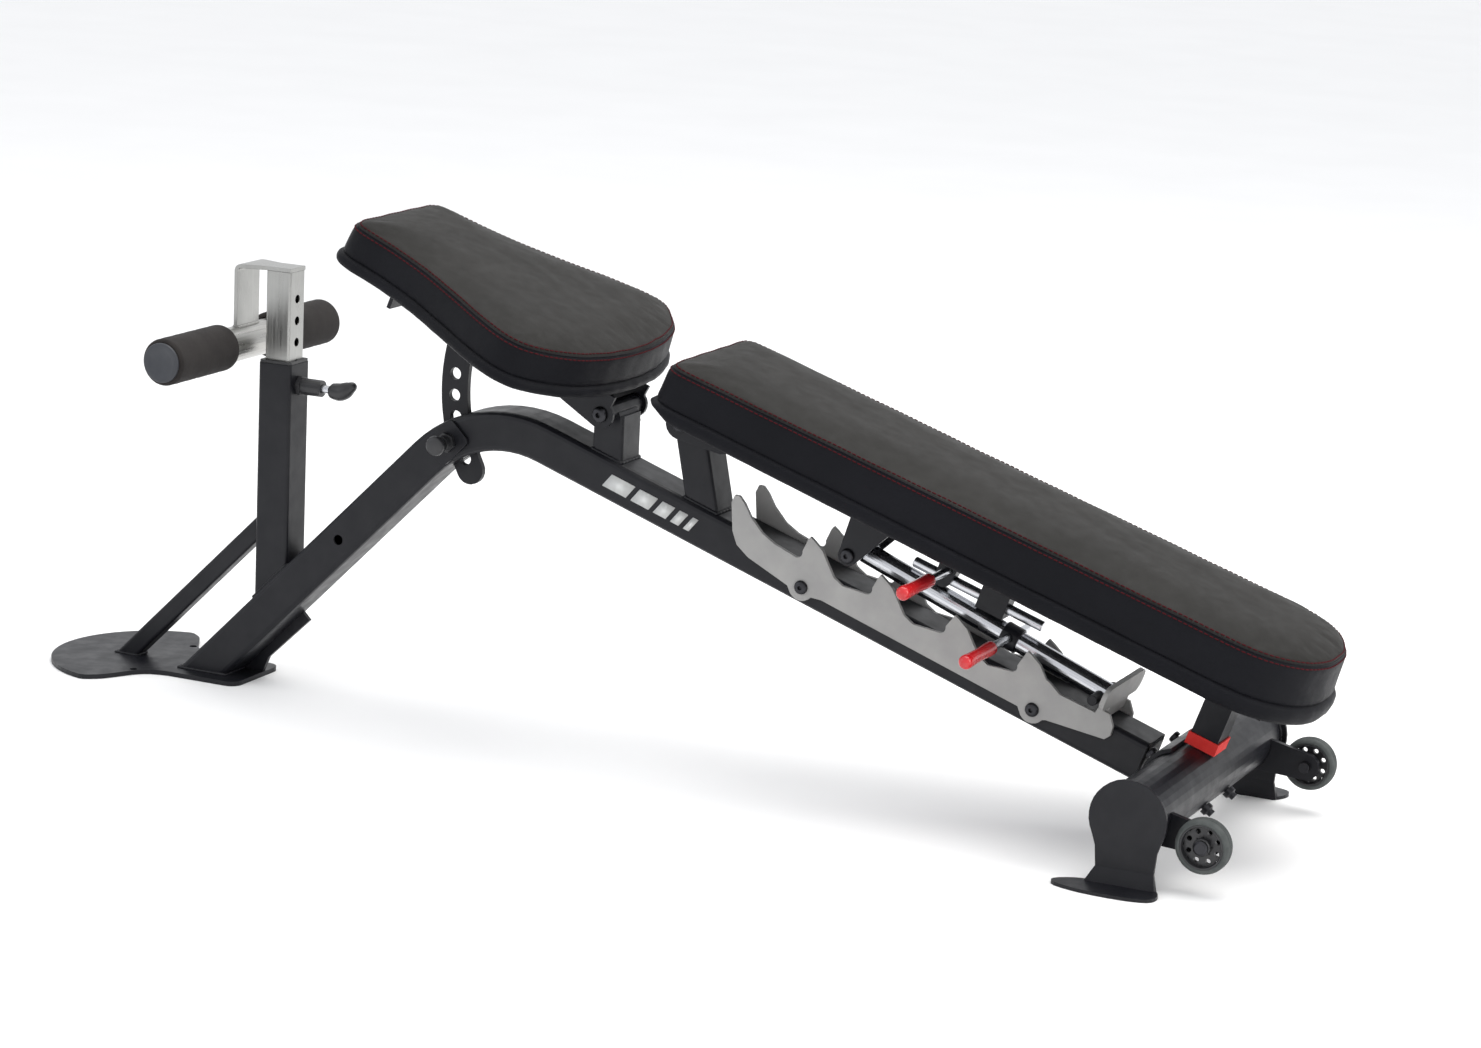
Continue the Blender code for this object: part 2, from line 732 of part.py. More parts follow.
def through_bolt(name, x, z, half, radius=HINGE_BOLT_RADIUS, head=0.010, head_high=0.0055, origin=None):
    """A bolt across the bench with a domed head on one side and a dome nut on the other."""
    profile = [
        (0, -half - head_high),
        (head * 0.62, -half - head_high),
        (head * 0.9, -half - head_high * 0.72),
        (head, -half - head_high * 0.35),
        (head, -half),
        (radius, -half),
        (radius, half),
        (head, half),
        (head, half + head_high * 0.35),
        (head * 0.9, half + head_high * 0.72),
        (head * 0.62, half + head_high),
        (0, half + head_high),
    ]
    bm = lathe(profile, (x, 0, z), (0, 1, 0), 24)
    return mesh_object(name, bm, origin or (x, 0, z), "black_bolt")


# ---------------------------------------------------------------- tilted pad frames


class Slope:
    """A tilted side view: u runs down the slope from a hinge, n stands square to it."""

    def __init__(self, hinge, angle):
        self.hinge = Vector(hinge)
        self.u = Vector((math.cos(angle), 0, -math.sin(angle)))
        self.n = Vector((math.sin(angle), 0, math.cos(angle)))

    def at(self, u, n, y=0.0):
        return self.hinge + self.u * u + self.n * n + Vector((0, y, 0))

    def side(self, points):
        """(u, n) points as (X, Z) points."""
        return [(p.x, p.z) for p in (self.at(u, n) for u, n in points)]


SEAT = Slope(SEAT_HINGE, SEAT_SLOPE)
BACK = Slope(BACK_HINGE, BACK_SLOPE)


def spline(points, steps):
    """A Catmull-Rom curve through (x, y) points, with the same number of steps in each span."""
    padded = [points[0]] + list(points) + [points[-1]]
    found = []
    for i in range(1, len(padded) - 2):
        p0, p1, p2, p3 = (Vector(padded[i + k]) for k in (-1, 0, 1, 2))
        for step in range(steps):
            t = step / steps
            found.append(
                0.5
                * (
                    2 * p1
                    + (p2 - p0) * t
                    + (2 * p0 - 5 * p1 + 4 * p2 - p3) * t * t
                    + (3 * p1 - p0 - 3 * p2 + p3) * t**3
                )
            )
    found.append(Vector(points[-1]))
    return [(p.x, p.y) for p in found]


def seat_outline(inset=0.0):
    """Plan of the seat in (u, y): a blunt nose, nearly straight flanks and a broad tail at the hinge."""
    half = [
        (-0.375, 0.0),
        (-0.375, 0.048),
        (-0.3745, 0.084),
        (-0.366, 0.104),
        (-0.346, 0.1135),
        (-0.306, 0.1185),
        (-0.265, 0.1275),
        (-0.225, 0.1415),
        (-0.189, 0.1575),
        (-0.134, 0.1825),
        (-0.104, 0.1930),
        (-0.080, 0.1955),
        (-0.058, 0.1895),
        (-0.036, 0.1680),
        (-0.014, 0.1310),
        (0.000, 0.0880),
        (0.0070, 0.0460),
        (0.009, 0.0),
    ]
    curve = spline(half, 2)
    if inset:
        curve = [((u + 0.18) * (1 - inset / 0.19) - 0.18, y * (1 - inset / 0.16)) for u, y in curve]
    return curve + [(u, -y) for u, y in reversed(curve[1:-1])]


def back_outline(inset=0.0):
    """Plan of the backrest in (u, y): a long strip with a square end at the hinge and a round tail."""
    start, end, half = BACK_PAD_START + inset, BACK_PAD_END - inset, BACK_PAD_HALF - inset
    corner = 0.028
    tail = half * 0.98
    curve = [(start, 0.0)]
    curve += arc_points((start + corner, half - corner), corner, math.pi, math.pi / 2, 5)
    for i in range(13):
        angle = math.pi / 2 * (1 - i / 12)
        squeeze = 0.88
        curve.append((end - tail * squeeze * (1 - math.cos(angle)), half * math.sin(angle) ** 0.85))
    curve[-1] = (end, 0.0)
    return curve + [(u, -y) for u, y in reversed(curve[1:-1])]


def padded_solid(name, slope, outline, bottom, top, edge, finish_name):
    """A pad: the outline raised from the bottom, with a rounded top edge. top is a function of u."""
    bm = bmesh.new()
    middle_u = sum(u for u, _ in outline) / len(outline)
    layers = ((0.003, 0.0), (0.0, 0.12), (0.0, 0.80), (edge * 0.35, 0.94), (edge, 1.0))
    rings = []
    for inset, level in layers:
        ring = []
        for u, y in outline:
            reach = max(math.hypot(u - middle_u, y), 1e-6)
            shrink = 1 - inset / max(reach, 0.05)
            high = bottom + (top(u) - bottom) * level
            ring.append(bm.verts.new(slope.at(middle_u + (u - middle_u) * shrink, high, y * shrink)))
        rings.append(ring)
    for a, b in zip(rings, rings[1:]):
        for k in range(len(outline)):
            j = (k + 1) % len(outline)
            bm.faces.new((a[k], a[j], b[j], b[k]))
    bm.faces.new(rings[0])
    bm.faces.new(rings[-1])
    return mesh_object(name, bm, slope.hinge, finish_name)


def plan_solid(slope, outline, low, high):
    """A plan outline raised between two levels of a slope."""
    bm = bmesh.new()
    rings = [[bm.verts.new(slope.at(u, n, y)) for u, y in outline] for n in (low, high)]
    bm.faces.new(rings[0])
    bm.faces.new(rings[1])
    for k in range(len(outline)):
        j = (k + 1) % len(outline)
        bm.faces.new((rings[0][k], rings[0][j], rings[1][j], rings[1][k]))
    bmesh.ops.recalc_face_normals(bm, faces=bm.faces)
    return bm


def board(name, slope, outline, bottom, thick):
    """The plywood base of a pad."""
    bm = plan_solid(slope, outline, bottom, bottom + thick)
    return mesh_object(name, bm, slope.hinge, "plywood")


def tilted_box(slope, u, n, y):
    """A box in a pad's frame, from three (low, high) pairs."""
    bm = extruded(
        slope.side([(u[0], n[0]), (u[1], n[0]), (u[1], n[1]), (u[0], n[1])]), (y[1] - y[0]) / 2
    )
    bmesh.ops.translate(bm, verts=bm.verts, vec=(0, (y[0] + y[1]) / 2, 0))
    return bm


# ---------------------------------------------------------------- seat


CLEVIS_Y = BARREL_HALF + GAP + CLEVIS_THICK / 2


def seat_frame():
    """Two hinge cheeks, a short centre tube that carries the arc plate, and two cross flats."""
    top = SEAT_PAD_BOTTOM - GAP
    cheek = SEAT.side(
        arc_points((0, 0), 0.017, math.radians(-100), math.radians(60), 9)
        + [(0.010, top), (-0.165, top), (-0.165, top - 0.012)]
    )
    obj = mesh_object(
        "seat_frame", extruded(cheek, CLEVIS_THICK / 2, "Y", -CLEVIS_Y), SEAT_HINGE, "black_paint"
    )
    edge = CLEVIS_Y + CLEVIS_THICK / 2 - 0.0004
    join(
        obj,
        tilted_box(SEAT, (-0.160, -0.028), (top - 0.005, top - 0.0004), (-edge, edge)),
        extruded(cheek, CLEVIS_THICK / 2, "Y", CLEVIS_Y),
        tilted_box(SEAT, (-0.318, -0.040), (top - 0.034, top - 0.002), (-0.0195, 0.0195)),
        tilted_box(SEAT, (-0.312, -0.282), (top - 0.0048, top - 0.0006), (-0.075, 0.075)),
        tilted_box(SEAT, (-0.3165, -0.3115), (top - 0.046, top - 0.001), (-0.035, 0.035)),
    )
    cut(obj, cross_pin(SEAT_HINGE.x, SEAT_HINGE.z, HINGE_BOLT_RADIUS + GAP, -0.08, 0.08))
    return obj


def seat_arc_plate():
    obj = mesh_object(
        "seat_arc_plate",
        arc_sector(ARC_HALF_WIDTH, seat_arc_top(), ARC_BOTTOM, ARC_HALF_THICK, rounded=True),
        SEAT_HINGE,
        "black_paint",
    )
    for step in range(-3, 2):
        angle = SEAT_PIN_ANGLE - step * ARC_STEP
        x = SEAT_HINGE.x - ARC_RADIUS * math.cos(angle)
        z = SEAT_HINGE.z + ARC_RADIUS * math.sin(angle)
        cut(obj, cross_pin(x, z, ARC_HOLE_RADIUS, -0.02, 0.02, 16))
    return obj


def seat_arc_top():
    """The angle at which the arc plate meets the underside of the seat's centre tube."""
    below = 0.034 - SEAT_PAD_BOTTOM + 2 * GAP + 0.0003
    return SEAT_SLOPE - math.asin(below / (ARC_RADIUS - ARC_HALF_WIDTH))


def seat():
    seat_frame()
    seat_arc_plate()
    board("seat_board", SEAT, seat_outline(0.006), SEAT_PAD_BOTTOM, BOARD_THICK)
    bottom = SEAT_PAD_BOTTOM + BOARD_THICK + GAP
    crown = SEAT_PAD_BOTTOM + SEAT_PAD_THICK
    padded_solid("seat_pad", SEAT, seat_outline(), bottom, lambda u: crown, 0.016, "black_vinyl")
    half = CLEVIS_Y + CLEVIS_THICK / 2 + GAP
    through_bolt("seat_hinge_bolt", SEAT_HINGE.x, SEAT_HINGE.z, half)


# ---------------------------------------------------------------- backrest


BACK_TUBE_HALF = 0.020
BACK_TUBE_DEPTH = 0.036
BACK_TUBE_WALL = 0.0025
BACK_TUBE_END = 0.770
GUIDE_START = 0.317
GUIDE_END = 0.490
GUIDE_N = -0.0362
GUIDE_RADIUS = 0.0065
REST_LUG_U = (0.4080, 0.4440)
REST_LUG_LOW = -0.0480
REST_LUG_HALF = 0.012
LUG_Y = 0.0385
LUG_THICK = 0.005
ROD_RADIUS = 0.005
GRIP_RADIUS = 0.0085
GRIP_INNER = 0.068
GRIP_OUTER = 0.153
BACK_ROD_U = 0.362
BACK_ROD_N = -0.0238
STOP_U = 0.702
STOP_WIDTH = 0.034
STOP_HALF = 0.020


def strut_pivot_uv():
    offset = STRUT_PIVOT - BACK_HINGE
    return offset.dot(BACK.u), offset.dot(BACK.n)


def back_frame():
    """Centre tube under the pad with hinge cheeks, cross flats, strut lugs, rod lugs and a stop post."""
    top = BACK_PAD_BOTTOM - GAP
    low = top - BACK_TUBE_DEPTH
    cheek = BACK.side(
        arc_points((0, 0), 0.019, math.radians(120), math.radians(275), 9)
        + [(0.060, low), (0.105, top - 0.012), (0.105, top), (-0.016, top)]
    )
    obj = mesh_object(
        "back_frame", extruded(cheek, CLEVIS_THICK / 2, "Y", -CLEVIS_Y), BACK_HINGE, "black_paint"
    )
    edge = CLEVIS_Y + CLEVIS_THICK / 2 - 0.0004
    wide = 0.095
    join(
        obj,
        tilted_box(BACK, (0.030, 0.100), (top - 0.005, top - 0.0004), (-edge, edge)),
        extruded(cheek, CLEVIS_THICK / 2, "Y", CLEVIS_Y),
        tilted_box(BACK, (0.040, BACK_TUBE_END), (low, top - 0.001), (-BACK_TUBE_HALF, BACK_TUBE_HALF)),
        tilted_box(BACK, (0.150, 0.190), (top - 0.0046, top - 0.0006), (-wide, wide)),
        tilted_box(BACK, (0.620, 0.660), (top - 0.0046, top - 0.0006), (-wide, wide)),
    )
    u, n = strut_pivot_uv()
    lug = BACK.side(
        arc_points((u, n), 0.0125, math.radians(200), math.radians(340), 8)
        + [(u + 0.040, low + 0.006), (u + 0.040, low + 0.014), (u - 0.014, low + 0.014)]
    )
    lugs = [extruded(lug, LUG_THICK / 2, "Y", sign * LUG_Y) for sign in (-1, 1)]
    reach = LUG_Y + LUG_THICK / 2 - 0.0003
    web = tilted_box(BACK, (u - 0.013, u + 0.038), (low + 0.0065, low + 0.0135), (-reach, reach))
    join(obj, web, *lugs)
    small = BACK.side(
        arc_points((BACK_ROD_U - 0.003, GUIDE_N), 0.0105, math.radians(190), math.radians(350), 7)
        + [(BACK_ROD_U + 0.012, low + 0.004), (BACK_ROD_U - 0.014, low + 0.004)]
    )
    stop_low = stop_foot() + STOP_CAP_THICK + GAP
    stop_half = STOP_HALF - 0.0002
    join(
        obj,
        extruded(small, 0.0095),
        tilted_box(BACK, REST_LUG_U, (REST_LUG_LOW, low + 0.004), (-REST_LUG_HALF, REST_LUG_HALF)),
        tilted_box(BACK, (STOP_U, STOP_U + STOP_WIDTH), (stop_low, low + 0.004), (-stop_half, stop_half)),
    )
    cut(
        obj,
        cross_pin(BACK_HINGE.x, BACK_HINGE.z, HINGE_BOLT_RADIUS + GAP, -0.08, 0.08),
        cross_pin(STRUT_PIVOT.x, STRUT_PIVOT.z, 0.005 + GAP, -0.08, 0.08),
    )
    place = BACK.at(BACK_ROD_U, BACK_ROD_N)
    inside = BACK_TUBE_HALF - BACK_TUBE_WALL
    hollow = tilted_box(
        BACK, (0.120, BACK_TUBE_END + 0.01), (low + BACK_TUBE_WALL, top - 0.0055), (-inside, inside)
    )
    bore = rod(BACK.at(GUIDE_START - 0.002, GUIDE_N), BACK.u, GUIDE_END - GUIDE_START, GUIDE_RADIUS + GAP)
    cut(obj, cross_pin(place.x, place.z, ROD_RADIUS + GAP, -0.03, 0.03), hollow, bore)
    return obj


def guide_rod():
    """Plain round rod held along the underside of the backrest by the two lugs."""
    bm = rod(BACK.at(GUIDE_START, GUIDE_N), BACK.u, GUIDE_END - GUIDE_START, GUIDE_RADIUS, ROUND, 0.0008)
    return mesh_object("guide_rod", bm, BACK_HINGE, "chrome")


STOP_CAP_THICK = 0.009


def stop_foot():
    """n of the underside of the stop cap, which rests on the cross tube."""
    place = BACK.at(STOP_U + STOP_WIDTH / 2, 0)
    # Distance along n from the slope's axis down to the top of the cross tube under the cap's middle.
    cross = Vector((CROSS_X, 0, CROSS_Z)) - place
    along = cross.dot(BACK.u)
    height = cross.dot(BACK.n)
    nearest = min(abs(along) - STOP_WIDTH / 2, 0.0)
    side = 0.0 if nearest < 0 else nearest
    return height + math.sqrt(CROSS_RADIUS**2 - side**2) + 2 * GAP


def stop_cap():
    """Red rubber shoe on the foot of the stop post."""
    low = stop_foot()
    grow = 0.0018
    lip = 0.006
    obj = mesh_object(
        "stop_cap",
        tilted_box(
            BACK,
            (STOP_U - grow - GAP, STOP_U + STOP_WIDTH + grow + GAP),
            (low, low + STOP_CAP_THICK + lip),
            (-STOP_HALF - grow, STOP_HALF + grow),
        ),
        BACK_HINGE,
        "red_plastic",
    )
    cut(
        obj,
        tilted_box(
            BACK,
            (STOP_U - GAP, STOP_U + STOP_WIDTH + GAP),
            (low + STOP_CAP_THICK, low + 0.05),
            (-STOP_HALF - GAP / 2, STOP_HALF + GAP / 2),
        ),
    )
    return obj


def grip(name, centre, sign, origin):
    """A moulded grip on the end of a rod: closed at its outer end and slightly waisted."""
    bore = ROD_RADIUS + GAP
    deep = GRIP_OUTER - 0.004
    profile = [
        (0, deep),
        (bore, deep),
        (bore, GRIP_INNER),
        (GRIP_RADIUS - 0.001, GRIP_INNER),
        (GRIP_RADIUS, GRIP_INNER + 0.002),
        (GRIP_RADIUS * 0.93, (GRIP_INNER + GRIP_OUTER) / 2),
        (GRIP_RADIUS, GRIP_OUTER - 0.005),
        (GRIP_RADIUS * 0.72, GRIP_OUTER - 0.001),
        (0, GRIP_OUTER),
    ]
    bm = lathe(profile, (centre.x, 0, centre.z), (0, sign, 0), 24)
    return mesh_object(name, bm, origin, "red_plastic")


def gripped_rod(name, centre, far, origin):
    """A thin rod across the bench with a grip on its right-hand end."""
    near = GRIP_OUTER - 0.005
    bm = rod((centre.x, -near, centre.z), (0, 1, 0), near + far, ROD_RADIUS, 16)
    mesh_object(name, bm, origin, "chrome")
    grip(f"{name}_grip", centre, -1, origin)


def back_board():
    """The backrest's base: a flat board with a shallow rim hanging round its sides and tail."""
    obj = board("back_board", BACK, back_outline(0.004), BACK_PAD_BOTTOM - RIM_DEPTH, BOARD_THICK + RIM_DEPTH)
    pocket = plan_solid(BACK, back_outline(RIM_WIDTH), BACK_PAD_BOTTOM - 0.05, BACK_PAD_BOTTOM)
    low = BACK_PAD_BOTTOM - RIM_DEPTH - 0.004
    notch = tilted_box(BACK, (-0.060, 0.030), (low, BACK_PAD_BOTTOM), (-0.050, 0.050))
    cut(obj, pocket, notch)
    return obj


def backrest():
    back_frame()
    stop_cap()
    back_board()
    bottom = BACK_PAD_BOTTOM + BOARD_THICK + GAP
    crown = BACK_PAD_BOTTOM + 0.065
    padded_solid(
        "back_pad", BACK, back_outline(), bottom, lambda u: crown + BACK_PAD_RISE * u, 0.016, "black_vinyl"
    )
    half = CLEVIS_Y + CLEVIS_THICK / 2 + GAP
    through_bolt("back_hinge_bolt", BACK_HINGE.x, BACK_HINGE.z, half)
    gripped_rod("back_rod", BACK.at(BACK_ROD_U, BACK_ROD_N), 0.014, BACK_HINGE)
    guide_rod()
    reach = LUG_Y + LUG_THICK / 2 + GAP
    through_bolt(
        "strut_pivot_bolt", STRUT_PIVOT.x, STRUT_PIVOT.z, reach, 0.005, 0.009, 0.005, BACK_HINGE
    )


# ---------------------------------------------------------------- strut


STRUT = Slope(STRUT_PIVOT, STRUT_SLOPE)
STRUT_ROD_U = 0.2101
STRUT_ROD_N = 0.0020
COLLAR_HALF = 0.011
COLLAR_THICK = 0.0024
FOOT_BAR_U = 0.3359
FOOT_BAR_N = -0.0037


def strut_frame():
    """The prop: a pivot sleeve with one straight tube, bored for the rod and for the foot bar."""
    sleeve_half = LUG_Y - LUG_THICK / 2 - GAP
    obj = mesh_object(
        "strut_frame",
        rod((STRUT_PIVOT.x, -sleeve_half, STRUT_PIVOT.z), (0, 1, 0), 2 * sleeve_half, 0.0110, 22),
        STRUT_PIVOT,
        "chrome",
    )
    outer = STRUT_TUBE_RADIUS
    inner = outer - STRUT_TUBE_WALL
    profile = [(outer, 0.0061), (outer, STRUT_LENGTH), (inner, STRUT_LENGTH), (inner, 0.0061)]
    join(obj, lathe(profile, STRUT.at(0, 0), STRUT.u, 28))
    middle = STRUT.at(STRUT_ROD_U, STRUT_ROD_N)
    foot = STRUT.at(FOOT_BAR_U, FOOT_BAR_N)
    cut(
        obj,
        cross_pin(STRUT_PIVOT.x, STRUT_PIVOT.z, 0.005 + GAP, -0.08, 0.08),
        cross_pin(middle.x, middle.z, ROD_RADIUS + GAP, -0.08, 0.08),
        cross_pin(foot.x, foot.z, FOOT_BAR_RADIUS + GAP, -0.08, 0.08),
    )
    return obj


def strut_collar():
    """A ring round the tube where the rod goes through it."""
    inner = STRUT_TUBE_RADIUS + GAP
    outer = inner + COLLAR_THICK
    low, high = STRUT_ROD_U - COLLAR_HALF, STRUT_ROD_U + COLLAR_HALF
    profile = [(outer - 0.0008, low), (outer, low + 0.0008), (outer, high - 0.0008), (outer - 0.0008, high)]
    profile += [(inner, high), (inner, low)]
    obj = mesh_object("strut_collar", lathe(profile, STRUT.at(0, 0), STRUT.u, 28), STRUT_PIVOT, "black_paint")
    middle = STRUT.at(STRUT_ROD_U, STRUT_ROD_N)
    cut(obj, cross_pin(middle.x, middle.z, ROD_RADIUS + GAP, -0.08, 0.08))
    return obj


def strut():
    strut_frame()
    strut_collar()
    foot = STRUT.at(FOOT_BAR_U, FOOT_BAR_N)
    half = LADDER_Y + LADDER_THICK / 2 + 0.0005
    bar = rod((foot.x, -half, foot.z), (0, 1, 0), 2 * half, FOOT_BAR_RADIUS, SMALL_ROUND, 0.0006)
    mesh_object("strut_foot_bar", bar, STRUT_PIVOT, "black_paint")
    gripped_rod("strut_rod", STRUT.at(STRUT_ROD_U, STRUT_ROD_N), 0.046, STRUT_PIVOT)


# ---------------------------------------------------------------- ladder


POCKETS = ((0.1995, 0.2785), (0.2905, 0.2470), (0.3850, 0.2145), (0.4765, 0.1820))
TEETH = ((0.2159, 0.2985), (0.3073, 0.2658), (0.4030, 0.2313), (0.4954, 0.2023))
POCKET_RADIUS = 0.0068


def ladder_outline():
    """Side view of a ladder plate in (X, Z), from the hook round the pockets and back along the edge."""
    points = [(0.1115, 0.3265), (0.1155, 0.3355), (0.1215, 0.3350), (0.1285, 0.3270)]
    points += [(0.1372, 0.3120), (0.1526, 0.2945), (0.1690, 0.2838)]
    for i, ((px, pz), (tx, tz)) in enumerate(zip(POCKETS, TEETH)):
        floor = math.atan2(-math.cos(REAR_SLOPE), -math.sin(REAR_SLOPE))
        points += arc_points((px, pz), POCKET_RADIUS, floor, math.radians(15), 6)
        points += [(tx - 0.0035, tz - 0.004), (tx - 0.0005, tz), (tx + 0.0050, tz - 0.0045)]
        points += [(tx + 0.0155, tz - 0.0145), (tx + 0.0235, tz - 0.0300)]
        if i < len(POCKETS) - 1:
            points += [(tx + 0.0315, tz - 0.0445), (tx + 0.0430, tz - 0.0530)]
    points += [(0.5240, 0.1690), (0.5365, 0.1570), (0.5810, 0.1428), (0.5842, 0.1488), (0.5985, 0.1436)]
    points += [(0.6035, 0.1290), (0.6010, 0.1180), (0.5940, 0.1132), (0.5213, 0.1244)]
    for x, z in reversed(LADDER_BOLTS):
        points += arc_points((x, z), 0.0165, math.radians(-40), math.radians(-150), 7)
        if x > LADDER_BOLTS[0][0]:
            points += [(0.4862, 0.1355), (0.2326, 0.2246)]
    points += [(0.1884, 0.2363), (0.1359, 0.2629), (0.1206, 0.2761), (0.1143, 0.2922)]
    return points


def ladder_plate(name, sign):
    bm = extruded(ladder_outline(), LADDER_THICK / 2, "Y", sign * LADDER_Y)
    obj = mesh_object(name, bm, finish_name="grey_paint")
    cut(obj, *(cross_pin(x, z, LADDER_BOLT_RADIUS + GAP, -0.08, 0.08) for x, z in LADDER_BOLTS))
    return obj


def ladder_end_strap():
    """A flat bar with rounded ends across the top of the plates, on a web between them."""
    lean = math.radians(19)
    across = Vector((math.cos(lean), 0, -math.sin(lean)))
    up = Vector((math.sin(lean), 0, math.cos(lean)))
    centre = Vector((0.5995, 0, 0.1657))
    half, high, corner = 0.064, 0.0145, 0.0125
    outline = []
    for sign_y, sign_up, start in ((1, 1, 0), (-1, 1, 90), (-1, -1, 180), (1, -1, 270)):
        middle = (sign_y * (half - corner), sign_up * (high - corner))
        outline += arc_points(middle, corner, math.radians(start), math.radians(start + 90), 5)
    web_half = LADDER_Y - LADDER_THICK / 2 - GAP
    web_low = -0.0300
    bm = bmesh.new()
    rings = []
    for a in (-0.003, 0.003):
        rings.append([bm.verts.new(centre + across * a + up * b + Vector((0, y, 0))) for y, b in outline])
    bm.faces.new(rings[0])
    bm.faces.new(rings[1])
    for k in range(len(outline)):
        j = (k + 1) % len(outline)
        bm.faces.new((rings[0][k], rings[0][j], rings[1][j], rings[1][k]))
    bmesh.ops.recalc_face_normals(bm, faces=bm.faces)
    obj = mesh_object("ladder_end_strap", bm, finish_name="grey_paint")
    web = []
    for a, b in ((-0.0028, web_low), (0.0028, web_low), (0.0028, -0.005), (-0.0028, -0.005)):
        point = centre + across * a + up * b
        web.append((point.x, point.z))
    join(obj, extruded(web, web_half))
    floor = []
    for x in (0.55, 0.65):
        height = rear_leg_height(x, TUBE_HEIGHT / 2 + GAP)
        floor.append((x, height))
    floor += [(0.65, floor[1][1] - 0.05), (0.55, floor[0][1] - 0.05)]
    cut(obj, extruded(floor, 0.05))
    return obj


def ladder():
    ladder_plate("ladder_plate_right", -1)
    ladder_plate("ladder_plate_left", 1)
    ladder_end_strap()
    half = LADDER_Y + LADDER_THICK / 2 + GAP
    for name, (x, z) in zip(("ladder_bolt_front", "ladder_bolt_rear"), LADDER_BOLTS):
        through_bolt(name, x, z, half, LADDER_BOLT_RADIUS, 0.0085, 0.0045)


# ---------------------------------------------------------------- rear foot


def cross_tube():
    start = (CROSS_X, -CROSS_HALF, CROSS_Z)
    bm = pipe(start, (0, 1, 0), 2 * CROSS_HALF, CROSS_RADIUS, CROSS_RADIUS - CROSS_WALL)
    obj = mesh_object("cross_tube", bm, finish_name="black_paint")
    for sign in (-1, 1):
        base, axis = saddle_bolt_line(sign)
        cut(obj, rod(Vector(base) - Vector(axis) * 0.02, axis, 0.16, 0.004 + GAP, 16))
    return obj


SADDLE_HALF = 0.058
SADDLE_BOLT_Y = 0.040
SADDLE_OUTER = CROSS_RADIUS + GAP + 0.005


def saddle_bolt_line(sign):
    """The axis of a saddle bolt: in through the saddle, out at the lower rear of the cross tube."""
    axis = Vector((math.cos(math.radians(-38)), 0, math.sin(math.radians(-38))))
    base = Vector((CROSS_X, sign * SADDLE_BOLT_Y, CROSS_Z)) - axis * SADDLE_OUTER
    return base, axis


def rear_saddle():
    """A curved plate on the end of the main tube that wraps the front of the cross tube."""
    start, end = math.radians(101), math.radians(212)
    centre = (CROSS_X, CROSS_Z)
    outer = arc_points(centre, SADDLE_OUTER, start, end, 16)
    inner = arc_points(centre, CROSS_RADIUS + GAP, end, start, 16)
    obj = mesh_object("rear_saddle", extruded(outer + inner, SADDLE_HALF), finish_name="black_paint")
    for sign in (-1, 1):
        base, axis = saddle_bolt_line(sign)
        cut(obj, rod(Vector(base) - Vector(axis) * 0.02, axis, 0.16, 0.004 + GAP, 16))
    return obj


def saddle_bolt(name, sign):
    base, axis = saddle_bolt_line(sign)
    long = SADDLE_OUTER + CROSS_RADIUS
    head = 0.0075
    profile = [
        (0, -0.0065),
        (head * 0.8, -0.0065),
        (head, -0.005),
        (head, -GAP - 0.0008),
        (0.004, -GAP - 0.0008),
        (0.004, long + 0.0012),
        (head, long + 0.0012),
        (head, long + 0.007),
        (0.0045, long + 0.009),
        (0.0045, long + 0.013),
        (0, long + 0.013),
    ]
    return mesh_object(name, lathe(profile, base, axis, 20), finish_name="black_bolt")


